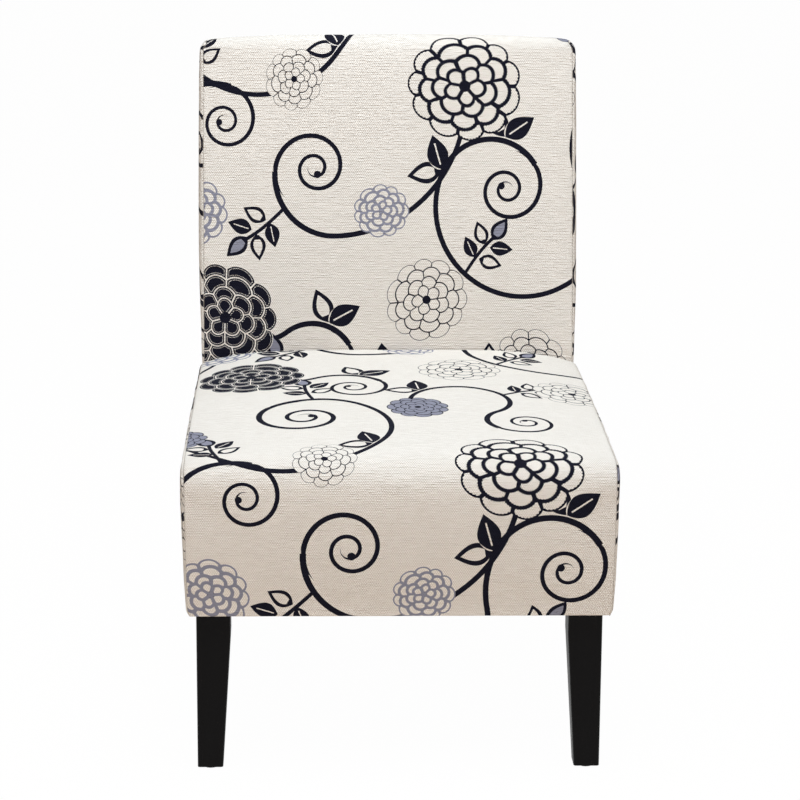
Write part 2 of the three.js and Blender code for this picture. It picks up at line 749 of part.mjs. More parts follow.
function buildPad() {
  const steps = ramp(padSplits).map((share) => mix(padFront, padRear, share));
  const layer = (lift) =>
    steps.map((y) => [-padHalfWidth, padHalfWidth].map((x) => [x, y, padBottom(y) + lift]));
  addPiece('spring_pad', sheetBetween(layer(padThickness), layer(0)), feltColour);
}

// Foam that fills the seat cover, resting on the rails, with a pocket below for the springs and felt.
function buildSeatFoam() {
  const low = foamFloor - cutOverrun;
  const lift = padThickness + gap;
  const pocket = new THREE.Shape();
  const tail = springFront - clipTail - gap;
  const clipTop = springLevel + clipBack + gap;
  pocket.moveTo(tail, low);
  pocket.lineTo(tail, clipTop);
  pocket.lineTo(padFront - gap, clipTop);
  for (const y of ramp(padSplits).map((share) => mix(padFront, padRear, share)))
    pocket.lineTo(y, padBottom(y) + lift);
  pocket.lineTo(padRear + gap, clipTop);
  pocket.lineTo(springRear + springFront - tail, clipTop);
  pocket.lineTo(springRear + springFront - tail, low);
  const tool = extrudeAcross(pocket, 2 * (padHalfWidth + gap));
  addPiece('seat_foam', paddedBlock(seatForm, [tool]), foamColour);
}

// Seat cover: one strip from under the front rail, over the roll and top, down behind; and two side panels.
function buildSeatCover() {
  const route = [
    [0, 0, { y: hemWidth, narrow: hemWidth + gap }],
    ...seatForm.vs.map((v) => [0, v]),
    ...seatForm.us.slice(1).map((u) => [u, 1]),
    [1, mix(seatFaceShare, 1, 0.5)],
    [1, seatFaceShare * seatCoverTailShare],
  ];
  addPiece('seat_cover_top', clothStrip(seatForm, route), clothColour);
  const hem = { width: hemWidth, frontMitre: hemWidth + 2 * gap, rearMitre: 0 };
  addPiece('seat_cover_side_left', clothSide(seatForm, 1, hem), clothColour);
  addPiece('seat_cover_side_right', clothSide(seatForm, -1, hem), clothColour);
}

function buildDustCover() {
  const halfWidth = seatHalfWidth - hemWidth - 2 * gap;
  const high = frameLevel - gap;
  const sheet = boxBetween(
    [-halfWidth, hemWidth + frameInset, high - dustCoverThickness],
    [halfWidth, railRear, high],
  );
  const holes = [-1, 1].map((side) =>
    cylinder(studRadius + gap, legTop, frameLevel).translate(side * legCentreX, frontLegCentreY, 0),
  );
  addPiece('dust_cover', cut(sheet, holes), dustColour);
}

// A square with rounded corners, as a ring of points, between two X and two Y faces.
function roundedRing([x0, x1], [y0, y1], radius, z) {
  const corners = [
    [x1 - radius, y1 - radius, 0],
    [x0 + radius, y1 - radius, 1],
    [x0 + radius, y0 + radius, 2],
    [x1 - radius, y0 + radius, 3],
  ];
  return corners.flatMap(([x, y, quarter]) =>
    ramp(legCornerSplits).map((share) => {
      const angle = ((quarter + share) * Math.PI) / 2;
      return [x + radius * Math.cos(angle), y + radius * Math.sin(angle), z];
    }),
  );
}

// A solid through rings of points with equal counts, closed flat at both ends.
function loft(rings) {
  const count = rings[0].length;
  const vertices = rings.flat();
  const quads = [];
  for (let ring = 0; ring < rings.length - 1; ring++)
    for (let side = 0; side < count; side++) {
      const next = (side + 1) % count;
      quads.push([
        ring * count + side,
        ring * count + next,
        (ring + 1) * count + next,
        (ring + 1) * count + side,
      ]);
    }
  for (const [first, flipped] of [[0, true], [(rings.length - 1) * count, false]]) {
    const middle = vertices.length;
    const end = vertices.slice(first, first + count);
    vertices.push([0, 1, 2].map((axis) => end.reduce((sum, place) => sum + place[axis] / count, 0)));
    for (let side = 0; side < count; side++) {
      const next = (side + 1) % count;
      const pair = flipped ? [first + next, first + side] : [first + side, first + next];
      quads.push([middle, ...pair, pair[1]]);
    }
  }
  return wireGeometry(vertices, quads);
}

// One leg. Its outer faces stay straight and its inner faces taper; a rear leg also sweeps back.
function legGeometry(side, frontY, rake) {
  const footLevel = glideHeight + gap;
  const levels = ramp(legSplits).map((share) => mix(footLevel, legTop - legStraight, share));
  const rings = [...levels, legTop].map((z) => {
    const down = THREE.MathUtils.clamp((legTop - legStraight - z) / (legHeight - legStraight), 0, 1);
    const fall = (legTop - z) / legHeight;
    const size = mix(legTopSize, legFootSize, down);
    const shift = rake * mix(fall, fall * fall, rearLegCurveShare);
    const faces = [side * legOuter, side * (legOuter - size)].sort((a, b) => a - b);
    const y = frontY + shift;
    return roundedRing(faces, [y, y + size], legCornerRadius, z);
  });
  return loft(rings);
}

function buildLegs() {
  const glide = turned([
    [0, 0],
    [glideRadius - glideChamfer, 0],
    [glideRadius, glideChamfer],
    [glideRadius, glideHeight],
    [glideStemRadius, glideHeight],
    [glideStemRadius, glideHeight + glideStemLength],
    [0, glideHeight + glideStemLength],
  ]);
  for (const [end, frontY, rake] of [
    ['front', frontLegCentreY - legTopSize / 2, 0],
    ['rear', rearLegCentreY - legTopSize / 2, rearLegRake],
  ])
    for (const [name, side] of [['left', 1], ['right', -1]]) {
      const topY = frontY + legTopSize / 2;
      const footX = side * (legOuter - legFootSize / 2);
      const footY = frontY + rake + legFootSize / 2;
      const studHole = cylinder(studRadius + gap, legTop - studInLeg - gap, legTop + cutOverrun);
      const stemHole = cylinder(glideStemRadius + gap, 0, glideHeight + glideStemLength + gap);
      const leg = cut(legGeometry(side, frontY, rake), [
        studHole.translate(side * legCentreX, topY, 0),
        stemHole.translate(footX, footY, 0),
      ]);
      addPiece(`leg_${end}_${name}`, leg, legColour);
      addPiece(`leg_glide_${end}_${name}`, glide, glideColour).position.set(footX, footY, 0);
      const stud = addPiece(`leg_stud_${end}_${name}`, studGeometry(), steelColour);
      stud.position.set(side * legCentreX, topY, legTop);
    }
}

// A plain stud with chamfered ends, screwed into the leg below and the frame above.
function studGeometry() {
  const chamfer = studRadius * rodChamferShare;
  return turned([
    [0, -studInLeg],
    [studRadius - chamfer, -studInLeg],
    [studRadius, chamfer - studInLeg],
    [studRadius, studInFrame - chamfer],
    [studRadius - chamfer, studInFrame],
    [0, studInFrame],
  ]);
}

// Back frame: a bottom rail, two leaning posts tenoned into it, and two rails between the posts.
const postOuter = backHalfWidth - 2 * gap;
const postInner = postOuter - railThickness;
const postMiddle = (postOuter + postInner) / 2;
const bottomRailFront = backFront + frameInset;
const bottomRailRear = backFront + backFootThickness - frameInset;
const postFace = clothInset + backFoamDepth + webbingThickness + 2 * gap; // cloth to posts
const postTenonFront = backFront + clothInset + backFoamDepthLow + tenonShoulder;
const postTenonRear = bottomRailRear - tenonShoulder;

// Heights at which the foot of the back is sampled, and the depth of its foam there.
const backFootLevels = ramp(footSplits).map((share) => mix(foamFloor, backKneeHeight + backKneeBlend, share));
function foamBackPoint(z, clear) {
  const share = THREE.MathUtils.smoothstep(z, foamFloor, backKneeHeight + backKneeBlend);
  return [frontLine(z, clothInset + mix(backFoamDepthLow, backFoamDepth, share) + clear), z];
}

// A post in section: behind the foam and webbing in front, and just inside the rear cloth.
function postShape() {
  const top = backLength - postTopDrop;
  const shape = new THREE.Shape();
  const rearInset = frameInset + gap;
  const clear = webbingThickness + 2 * gap;
  shape.moveTo(...foamBackPoint(foamFloor, clear));
  for (const z of backFootLevels.slice(1)) shape.lineTo(...foamBackPoint(z, clear));
  shape.lineTo(...leaningPlace(top, postFace));
  shape.lineTo(...leaningPlace(top, backThickness - rearInset));
  for (const z of backFootLevels.toReversed()) shape.lineTo(rearLine(z, rearInset), z);
  return shape;
}

// Places a piece in the leaning plane of the back: Y is depth behind the face and Z runs up it.
function leaningGroup() {
  const group = new THREE.Group();
  group.position.set(0, backFront, backKneeHeight);
  group.rotation.x = -backLean;
  chair.add(group);
  return group;
}

function buildBackFrame() {
  const bottomRail = boxBetween(
    [-postOuter, bottomRailFront, frameLevel],
    [postOuter, bottomRailRear, railTop],
  );
  const mortises = [-1, 1].map((side) =>
    boxBetween(
      [side * postMiddle - tenonThickness / 2 - gap, postTenonFront - gap, railTop - tenonLength - gap],
      [side * postMiddle + tenonThickness / 2 + gap, postTenonRear + gap, railTop + cutOverrun],
    ),
  );
  const studHoles = [-1, 1].map((side) =>
    cylinder(studRadius + gap, frameLevel - cutOverrun, legTop + studInFrame + gap).translate(
      side * legCentreX,
      rearLegCentreY,
      0,
    ),
  );
  const boltHoles = backBoltHoles(
    backBoltRadius + gap,
    bottomRailFront - cutOverrun,
    bottomRailFront + backBoltDepth + gap,
  );
  addPiece('back_bottom_rail', cut(bottomRail, [...mortises, ...studHoles, ...boltHoles]), woodColour);

  const lumbar = [lumbarRailRise, lumbarRailRise + lumbarRailHeight];
  const top = [backLength - postTopDrop - topRailHeight, backLength - postTopDrop];
  const crossRails = [
    ['back_lumbar_rail', lumbar],
    ['back_top_rail', top],
  ];
  const depths = [postFace + gap, postFace + gap + railThickness];
  const inPlane = (geometry) =>
    geometry.rotateX(-backLean).translate(0, backFront, backKneeHeight);
  const crossMortises = crossRails.map(([, [low, high]]) =>
    inPlane(
      boxBetween(
        [-postInner - tenonLength, mix(...depths, 0.5) - tenonThickness / 2 - gap, low + tenonShoulder - gap],
        [postInner + tenonLength, mix(...depths, 0.5) + tenonThickness / 2 + gap, high - tenonShoulder + gap],
      ),
    ),
  );
  for (const [name, side] of [['left', 1], ['right', -1]]) {
    const tenon = boxBetween(
      [side * postMiddle - tenonThickness / 2, postTenonFront, railTop - tenonLength],
      [side * postMiddle + tenonThickness / 2, postTenonRear, railTop + tenonLength],
    );
    const post = extrudeAcross(postShape(), railThickness, side * postMiddle);
    addPiece(`back_post_${name}`, cut(join(post, [tenon]), crossMortises), woodColour);
  }
  const leaning = leaningGroup();
  for (const [name, [low, high]] of crossRails) {
    const rail = boxBetween(
      [-postInner + gap, depths[0], low],
      [postInner - gap, depths[1], high],
    );
    const tenon = boxBetween(
      [-postInner - tenonLength + gap, mix(...depths, 0.5) - tenonThickness / 2, low + tenonShoulder],
      [postInner + tenonLength - gap, mix(...depths, 0.5) + tenonThickness / 2, high - tenonShoulder],
    );
    addPiece(name, join(rail, [tenon]), woodColour, leaning);
  }
  const room = [lumbar[1], top[0]];
  const webbingCount = Math.max(1, Math.floor((room[1] - room[0]) / webbingPitch));
  for (let index = 0; index < webbingCount; index++) {
    const middle = mix(...room, (index + 0.5) / webbingCount);
    const strap = boxBetween(
      [-postOuter, postFace - gap - webbingThickness, middle - webbingWidth / 2],
      [postOuter, postFace - gap, middle + webbingWidth / 2],
    );
    addPiece(`back_webbing_${index + 1}`, strap, webbingColour, leaning);
  }
}

// Foam between the front cloth and the webbing, thinner at its foot and wrapped over the top rail.
function buildBackFoam() {
  const behind = new THREE.Shape();
  const [footFront] = foamBackPoint(foamFloor, 0);
  const past = backLength - postTopDrop + gap;
  behind.moveTo(footFront, foamFloor - cutOverrun);
  for (const z of backFootLevels) behind.lineTo(...foamBackPoint(z, 0));
  behind.lineTo(...leaningPlace(past, clothInset + backFoamDepth));
  behind.lineTo(...leaningPlace(past, 2 * backThickness));
  behind.lineTo(backFront + 2 * backThickness, foamFloor - cutOverrun);
  const tool = extrudeAcross(behind, 4 * backHalfWidth);
  addPiece('back_foam', paddedBlock(backForm, [tool]), foamColour);
}

// Back cover: a strip up the face and over the top, two side panels, and the outside back.
function buildBackCover() {
  const frontRoute = [
    ...backForm.vs.map((v) => [0, v]),
    ...backForm.us.slice(1).map((u) => [u, 1]),
  ];
  const boltHoles = backBoltHoles(backBoltRadius + gap, backFront - cutOverrun, bottomRailFront + cutOverrun);
  addPiece('back_cover_front', cut(clothStrip(backForm, frontRoute), boltHoles), clothColour);

  const hem = { width: hemWidth, frontMitre: 0, rearMitre: hemWidth + 2 * gap };
  for (const [name, side] of [['left', 1], ['right', -1]])
    addPiece(`back_cover_side_${name}`, clothSide(backForm, side, hem), clothColour);

  const levels = ramp(rearPanelRows).map((share) => mix(hemLevel, backRearEnd - gap, share));
  const across = ramp(rearPanelColumns).map((share) => mix(-1, 1, share) * (backHalfWidth - gap));
  const layer = (inset) => {
    const rows = levels.map((z, index) => {
      const raised = index ? z : z + inset;
      return across.map((x) => [x, rearLine(raised, inset), raised]);
    });
    const share = (backHalfWidth - hemWidth - 2 * gap) / (backHalfWidth - gap);
    const hemRow = rows[0].map(([x, y, z]) => [x * share, y - hemWidth, z]);
    return [hemRow, ...rows];
  };
  addPiece('back_cover_rear', sheetBetween(layer(0), layer(clothThickness)), clothColour);
}

// Bolts through the seat's rear rail into the back's bottom rail.
function buildBackBolts() {
  const rearInner = railRear - railThickness;
  const tip = bottomRailFront + backBoltDepth - rearInner + gap;
  const chamfer = backBoltRadius * rodChamferShare;
  const bolt = turned([
    [0, -backBoltHead],
    [backBoltHeadRadius - chamfer, -backBoltHead],
    [backBoltHeadRadius, chamfer - backBoltHead],
    [backBoltHeadRadius, 0],
    [backBoltRadius, 0],
    [backBoltRadius, tip - chamfer],
    [backBoltRadius - chamfer, tip],
    [0, tip],
  ]).rotateX(-Math.PI / 2);
  const names = ['right_low', 'right_high', 'left_low', 'left_high'];
  backBoltPlaces.forEach(([x, z], index) => {
    addPiece(`back_bolt_${names[index]}`, bolt, steelColour).position.set(x, rearInner - gap, z);
  });
}

buildSeatFrame();
buildSuspension();
buildPad();
buildSeatFoam();
buildSeatCover();
buildDustCover();
buildBackFrame();
buildBackFoam();
buildBackCover();
buildBackBolts();
buildLegs();

// The finished chair stands centred on the origin.
const chairBox = new THREE.Box3().setFromObject(chair, true);
chair.position.set(
  -(chairBox.min.x + chairBox.max.x) / 2,
  -(chairBox.min.y + chairBox.max.y) / 2,
  -chairBox.min.z,
);

export default chair;
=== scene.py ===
import json
import math

import bmesh
import bpy
from mathutils import Matrix, Vector, noise


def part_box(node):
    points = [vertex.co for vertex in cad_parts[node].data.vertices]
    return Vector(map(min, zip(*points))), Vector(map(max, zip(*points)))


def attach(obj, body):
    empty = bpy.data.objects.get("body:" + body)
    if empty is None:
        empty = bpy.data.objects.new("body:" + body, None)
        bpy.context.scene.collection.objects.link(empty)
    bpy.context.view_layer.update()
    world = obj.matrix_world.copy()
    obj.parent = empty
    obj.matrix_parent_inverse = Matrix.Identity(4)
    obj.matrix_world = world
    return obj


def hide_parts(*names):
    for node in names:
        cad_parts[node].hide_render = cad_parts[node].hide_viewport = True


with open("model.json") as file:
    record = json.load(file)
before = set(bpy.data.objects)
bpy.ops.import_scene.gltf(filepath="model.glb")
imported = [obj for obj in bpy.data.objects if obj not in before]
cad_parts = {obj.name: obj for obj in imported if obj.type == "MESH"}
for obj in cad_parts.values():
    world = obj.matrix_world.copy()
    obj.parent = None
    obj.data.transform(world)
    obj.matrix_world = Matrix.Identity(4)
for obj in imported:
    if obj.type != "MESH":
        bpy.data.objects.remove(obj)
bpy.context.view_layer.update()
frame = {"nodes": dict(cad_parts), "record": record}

TAU = 2 * math.pi

# Sizes of the covers in metres, as the solids have them, from the seat's front and the floor
GAP = 0.0003
CLOTH = 0.0015
HEM = 0.018
SEAT_DEPTH = 0.535
SEAT_HALF_WIDTH = 0.271
SEAT_FLARE = 0.003
SEAT_REAR_TAPER = 0.004
SEAT_TOP_FRONT = 0.417
SEAT_TOP_REAR = 0.437
SEAT_ROLL = 0.042
SEAT_SWELL = 0.004
SEAT_CORNER_CROWN = 0.006
SEAT_REAR_CROWN = 0.020
SEAT_SIDE_BULGE = 0.0055
SEAT_SIDE_BULGE_LOW = 0.002
SEAT_REAR_BULGE = 0.003
SEAT_SEAM_ROLL = 0.026
SEAT_FOOT_PULL = 0.003  # how far the front corners at the hem are drawn in
SEAT_FOOT_REACH = 0.008  # up from the hem
SEAT_FOOT_DEPTH = (0.02, 0.10)  # back from the front
BACK_LEAN = math.radians(12)
BACK_KNEE = 0.425
BACK_KNEE_BLEND = 0.040
BACK_HEIGHT = 0.878
BACK_THICKNESS = 0.080
BACK_FOOT_THICKNESS = 0.066
BACK_TOP_ROLL = 0.024
BACK_REAR_ROLL = 0.012
BACK_TOP_CROWN = 0.008
BACK_FACE_CROWN = 0.005
BACK_CROWN_POWER = 4  # how late the face's crown turns into the top's
BACK_SIDE_BULGE = 0.006
BACK_SIDE_BULGE_LOW = 0.0025
BACK_SEAM_ROLL = 0.020
BACK_TOP_SEAM_ROLL = 0.034
BACK_CORNER_PULL = 0.0045  # how far the front corners at the top are drawn in
BACK_CORNER_REACH = (0.003, 0.020)  # down from the top
BACK_CORNER_DEPTH = (0.018, 0.055)  # back from the front
BACK_HALF_WIDTH = 0.266
BACK_BULGE_SHARES = (0.25, 0.5)
EDGE_POWER = 5
LEG_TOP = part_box("leg_front_left")[1][2]
HEM_LEVEL = LEG_TOP + GAP
BACK_FRONT = SEAT_DEPTH + GAP
CLOTH_INSET = CLOTH + GAP
Y_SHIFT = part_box("seat_front_rail")[0][1] - (CLOTH_INSET + GAP)


def mix(a, b, share):
    return a + (b - a) * share


def mix_point(a, b, share):
    return tuple(mix(first, second, share) for first, second in zip(a, b))


def clamp(value, low=0.0, high=1.0):
    return min(high, max(low, value))


def smoothstep(value, low, high):
    share = clamp((value - low) / (high - low))
    return share * share * (3 - 2 * share)


def ramp(count):
    return [step / count for step in range(count + 1)]


def roll_out(distance, reach):
    """Quarter-round rise from a seam: 0 at the seam, 1 from the roll's reach on."""
    left = clamp(1 - distance / reach)
    return math.sqrt(1 - left * left)


def patch(edges, u, v):
    """A place in section (Y, Z) between four edge curves, as a blend of opposite edges."""
    front, top, rear, bottom = edges
    corners = mix_point(mix_point(front(0), rear(0), u), mix_point(front(1), rear(1), u), v)
    across = mix_point(front(v), rear(v), u)
    up = mix_point(bottom(u), top(u), v)
    return tuple(a + b - c for a, b, c in zip(across, up, corners))


# The seat box in section
SEAT_ROLL_ARC = SEAT_ROLL * math.pi / 4
SEAT_FACE = SEAT_TOP_FRONT - SEAT_ROLL - HEM_LEVEL
SEAT_TOP_LENGTH = SEAT_DEPTH - SEAT_ROLL
SEAT_RISE = SEAT_FACE + SEAT_ROLL_ARC
SEAT_SPAN = SEAT_TOP_LENGTH + SEAT_ROLL_ARC
SEAT_FACE_SHARE = SEAT_FACE / SEAT_RISE
SEAT_ROLL_SHARE = SEAT_ROLL_ARC / SEAT_SPAN


def seat_edges(crowned):
    """The four edges of the seat's section: in the middle, or lower, at the side seams."""
    centre = (SEAT_ROLL, SEAT_TOP_FRONT - SEAT_ROLL)

    def dropped(place, normal, drop):
        return tuple(p - n * drop for p, n in zip(place, normal)) if crowned else place

    def roll(angle, drop):
        normal = (math.cos(angle), math.sin(angle))
        place = tuple(c + n * SEAT_ROLL for c, n in zip(centre, normal))
        return dropped(place, normal, drop)

    def front(v):
        drop = SEAT_CORNER_CROWN * v
        if v >= SEAT_FACE_SHARE:
            turned = (v - SEAT_FACE_SHARE) / (1 - SEAT_FACE_SHARE)
            return roll(math.pi - turned * math.pi / 4, drop)
        raised = mix(HEM_LEVEL, centre[1], v / SEAT_FACE_SHARE)
        swell = SEAT_SWELL * math.sin((raised - HEM_LEVEL) / SEAT_FACE * math.pi)
        return dropped((-swell, raised), (-1, 0), drop)

    def top(u):
        drop = mix(SEAT_CORNER_CROWN, SEAT_REAR_CROWN, u)
        if u <= SEAT_ROLL_SHARE:
            return roll(math.pi * (0.75 - u / SEAT_ROLL_SHARE * 0.25), drop)
        along = (u - SEAT_ROLL_SHARE) / (1 - SEAT_ROLL_SHARE)
        rise = (SEAT_TOP_REAR - SEAT_TOP_FRONT) * math.sin(along * math.pi / 2)
        y = mix(SEAT_ROLL, SEAT_DEPTH, along)
        return dropped((y, SEAT_TOP_FRONT + rise), (0, 1), drop)

    def rear(v):
        return (SEAT_DEPTH, mix(HEM_LEVEL, top(1)[1], v))

    def bottom(u):
        return (mix(front(0)[0], SEAT_DEPTH, u), HEM_LEVEL)

    return front, top, rear, bottom


def seat_rim(u, v):
    """How far the seat's side stands from the middle."""
    seam = SEAT_HALF_WIDTH + SEAT_FLARE * v - SEAT_REAR_TAPER * u
    full = mix(SEAT_SIDE_BULGE, SEAT_REAR_BULGE, u * u)
    raised = math.sin(min(1, v / SEAT_FACE_SHARE) * math.pi / 2)
    bulge = mix(SEAT_SIDE_BULGE_LOW, full, raised)
    across = u * SEAT_SPAN
    rounded = roll_out(across, SEAT_SEAM_ROLL)
    rounded *= roll_out((1 - v) * SEAT_RISE, SEAT_SEAM_ROLL)
    pull = SEAT_FOOT_PULL * (1 - smoothstep(v * SEAT_RISE, 0, SEAT_FOOT_REACH))
    pull *= 1 - smoothstep(across, *SEAT_FOOT_DEPTH)
    return seam - pull + bulge * rounded


# The back in section
LEAN_UP = (math.sin(BACK_LEAN), math.cos(BACK_LEAN))
LEAN_IN = (math.cos(BACK_LEAN), -math.sin(BACK_LEAN))
LEAN_SLOPE = math.tan(BACK_LEAN)
BACK_LENGTH = (
    (BACK_HEIGHT - BACK_TOP_ROLL - BACK_KNEE + BACK_TOP_ROLL * LEAN_UP[0]) / LEAN_UP[1]
    + BACK_TOP_ROLL
)


def leaning(along, depth):
    """A place from its distance up the leaning face and its depth behind it."""
    return (
        BACK_FRONT + along * LEAN_UP[0] + depth * LEAN_IN[0],
        BACK_KNEE + along * LEAN_UP[1] + depth * LEAN_IN[1],
    )


def bent_line(z, at_knee, slope_below, slope_above):
    """Y at a height, on a line that turns smoothly from one slope to another at the knee."""
    turned = clamp((z - BACK_KNEE) / (2 * BACK_KNEE_BLEND) + 0.5)
    beyond = max(0, z - BACK_KNEE - BACK_KNEE_BLEND)
    extra = slope_above - slope_below
    leaned = extra * (turned * turned * BACK_KNEE_BLEND + beyond)
    return at_knee + slope_below * (z - BACK_KNEE) + leaned


REAR_KNEE = BACK_FRONT + BACK_THICKNESS / math.cos(BACK_LEAN)
REAR_SLOPE_LOW = (REAR_KNEE - BACK_FRONT - BACK_FOOT_THICKNESS) / (BACK_KNEE - HEM_LEVEL)
BACK_ROLL_ARC = BACK_TOP_ROLL * math.pi / 4
BACK_REAR_ARC = BACK_REAR_ROLL * math.pi / 2
BACK_TOP_FLAT = BACK_THICKNESS - BACK_TOP_ROLL - BACK_REAR_ROLL
BACK_FRONT_END = leaning(BACK_LENGTH - BACK_TOP_ROLL, 0)[1]
BACK_FACE = BACK_FRONT_END - HEM_LEVEL
BACK_RISE = BACK_FACE + BACK_ROLL_ARC
BACK_FACE_SHARE = BACK_FACE / BACK_RISE
BACK_SPAN = BACK_ROLL_ARC + BACK_TOP_FLAT + BACK_REAR_ARC
BACK_TOP_SHARES = (BACK_ROLL_ARC / BACK_SPAN, (BACK_ROLL_ARC + BACK_TOP_FLAT) / BACK_SPAN)


def back_edges(crowned):
    """The four edges of the back's section, as seat_edges gives the seat's."""
    top_centre = BACK_LENGTH - BACK_TOP_ROLL
    rear_centre = (BACK_LENGTH - BACK_REAR_ROLL, BACK_THICKNESS - BACK_REAR_ROLL)

    def roll(along, depth, radius, turn, drop):
        normal = tuple(
            math.cos(turn) * up - math.sin(turn) * inward
            for up, inward in zip(LEAN_UP, LEAN_IN)
        )
        reach = radius - (drop if crowned else 0)
        return tuple(c + n * reach for c, n in zip(leaning(along, depth), normal))

    def front(v):
        drop = BACK_TOP_CROWN * v
        if v >= BACK_FACE_SHARE:
            turned = (v - BACK_FACE_SHARE) / (1 - BACK_FACE_SHARE)
            turn = mix(math.pi / 2, math.pi / 4, turned)
            return roll(top_centre, BACK_TOP_ROLL, BACK_TOP_ROLL, turn, drop)
        z = mix(HEM_LEVEL, BACK_FRONT_END, v / BACK_FACE_SHARE)
        raised = clamp((z - BACK_KNEE) / (BACK_FRONT_END - BACK_KNEE))
        crown = BACK_FACE_CROWN * math.sin(raised * math.pi / 2)
        blend = mix(crown, drop, raised**BACK_CROWN_POWER)
        return (bent_line(z, BACK_FRONT, 0, LEAN_SLOPE) + (blend if crowned else 0), z)

    def top(u):
        first, second = BACK_TOP_SHARES
        if u <= first:
            turn = math.pi / 4 * (1 - u / first)
            return roll(top_centre, BACK_TOP_ROLL, BACK_TOP_ROLL, turn, BACK_TOP_CROWN)
        if u <= second:
            depth = mix(BACK_TOP_ROLL, rear_centre[1], (u - first) / (second - first))
            return leaning(BACK_LENGTH - (BACK_TOP_CROWN if crowned else 0), depth)
        share = (u - second) / (1 - second)
        drop = min(mix(BACK_TOP_CROWN, 0, share), BACK_REAR_ROLL - GAP)
        return roll(*rear_centre, BACK_REAR_ROLL, -math.pi / 2 * share, drop)

    def rear(v):
        z = mix(HEM_LEVEL, top(1)[1], v)
        return top(1) if v == 1 else (bent_line(z, REAR_KNEE, REAR_SLOPE_LOW, LEAN_SLOPE), z)

    def bottom(u):
        return (mix(front(0)[0], rear(0)[0], u), HEM_LEVEL)

    return front, top, rear, bottom


def back_rim(u, v):
    """How far the back's side stands from the middle."""
    bulge = mix(BACK_SIDE_BULGE_LOW, BACK_SIDE_BULGE, smoothstep(v, *BACK_BULGE_SHARES))
    across = u * BACK_THICKNESS
    rounded = roll_out(across, BACK_SEAM_ROLL)
    rounded *= roll_out(BACK_THICKNESS - across, BACK_SEAM_ROLL)
    to_top = (1 - v) * BACK_RISE
    rounded *= roll_out(to_top, BACK_TOP_SEAM_ROLL)
    pull = BACK_CORNER_PULL * (1 - smoothstep(to_top, *BACK_CORNER_REACH))
    pull *= 1 - smoothstep(across, *BACK_CORNER_DEPTH)
    return BACK_HALF_WIDTH - pull + bulge * rounded


def form_point(form, u, v, across):
    """A place on a padded form. Across it, 0 is the middle and 1 a side seam."""
    middle, side = (patch(form["edges"](crowned), u, v) for crowned in (False, True))
    y, z = mix_point(middle, side, abs(across) ** EDGE_POWER)
    return Vector((across * form["rim"](u, v), y + Y_SHIFT, z))


CLOTH_STEP = 0.0075
SEAM_STEPS = (0, 0.0014, 0.0035, 0.0075)


def crowded(low, high):
    """Places from low to high, a step apart, with closer ones at both ends."""
    *near, inner = SEAM_STEPS
    count = max(1, round((high - low - 2 * inner) / CLOTH_STEP))
    middle = [mix(low + inner, high - inner, share) for share in ramp(count)]
    return [low + step for step in near] + middle + [high - step for step in reversed(near)]


def padded_form(edges, rim, span, rise, half_width):
    """A form, with the places of its cloth's points as shares of its span and its rise."""
    us, vs = ([place / reach for place in crowded(0, reach)] for reach in (span, rise))
    return {
        "edges": edges, "rim": rim, "us": us, "vs": vs,
        "span": span, "rise": rise, "half_width": half_width,
    }


seat_form = padded_form(seat_edges, seat_rim, SEAT_SPAN, SEAT_RISE, SEAT_HALF_WIDTH)
back_form = padded_form(back_edges, back_rim, BACK_SPAN, BACK_RISE, BACK_HALF_WIDTH)


# Cloth. A shell is all of a form's panels sewn together; it is swelled as one and cut apart again.
def lay_grid(bm, columns, rows, place, panel, flat, seam):
    """One panel of cloth: a grid, put in place, with its flat pattern and its way to a seam."""
    last_column, last_row = len(columns) - 1, len(rows) - 1
    made = bmesh.ops.create_grid(
        bm, x_segments=last_column, y_segments=last_row, size=0.5, calc_uvs=False
    )
    pattern = bm.loops.layers.uv["cloth_flat"]
    sewing = bm.loops.layers.uv["seam_way"]
    seam_gap = bm.verts.layers.float["seam_gap"]
    seam_run = bm.verts.layers.float["seam_run"]
    panels = bm.faces.layers.int["panel"]
    spots = {}
    for vertex in made["verts"]:
        column = columns[round((vertex.co.x + 0.5) * last_column)]
        row = rows[round((vertex.co.y + 0.5) * last_row)]
        spots[vertex] = (column, row)
    for face in {face for vertex in made["verts"] for face in vertex.link_faces}:
        face[panels] = panel
        face.smooth = True
        for loop in face.loops:
            loop[pattern].uv = flat(*spots[loop.vert])
            loop[sewing].uv = seam(*spots[loop.vert])
    for vertex, spot in spots.items():
        vertex.co = place(*spot)
        vertex[seam_gap], vertex[seam_run] = seam(*spot)


def new_shell():
    bm = bmesh.new()
    for name in ("cloth_flat", "seam_way"):
        bm.loops.layers.uv.new(name)
    for name in ("seam_gap", "seam_run", "held"):
        bm.verts.layers.float.new(name)
    bm.faces.layers.int.new("panel")
    return bm


STRIP, SIDE_LEFT, SIDE_RIGHT, REAR, UNDER = range(5)
NO_SEAM = 0.5  # a way to a seam that is past every stitch
SINK_DEPTH = 0.002
SINK_REACH = 0.06
SWELL_FRAMES = 20
SWELL_LIMIT = 0.006
SWELL_SETTINGS = {
    "quality": 5, "mass": 0.3, "air_damping": 5,
    "tension_stiffness": 80, "compression_stiffness": 80, "shear_stiffness": 27,
    "bending_stiffness": 5, "tension_damping": 25, "compression_damping": 25,
    "shear_damping": 10, "use_pressure": True, "uniform_pressure_force": 1.5,
}
SEAM_DEPTH = 0.0013
SEAM_REACH = 0.0055
PUCKER = 0.0009
PUCKER_START = 0.002
PUCKER_REACH = 0.016
PUCKER_WAVES = [(1.0, 38, 18, 0), (0.5, 90, 40, 3)]  # share, waves along and across, seed
SETTLE_DEPTH = 0.0006
SETTLE_WAVES = [(1.0, 9), (0.5, 22)]  # share, waves a metre
SETTLE_HELD_SHARE = 0.8  # of the settling, lost where the cloth is held


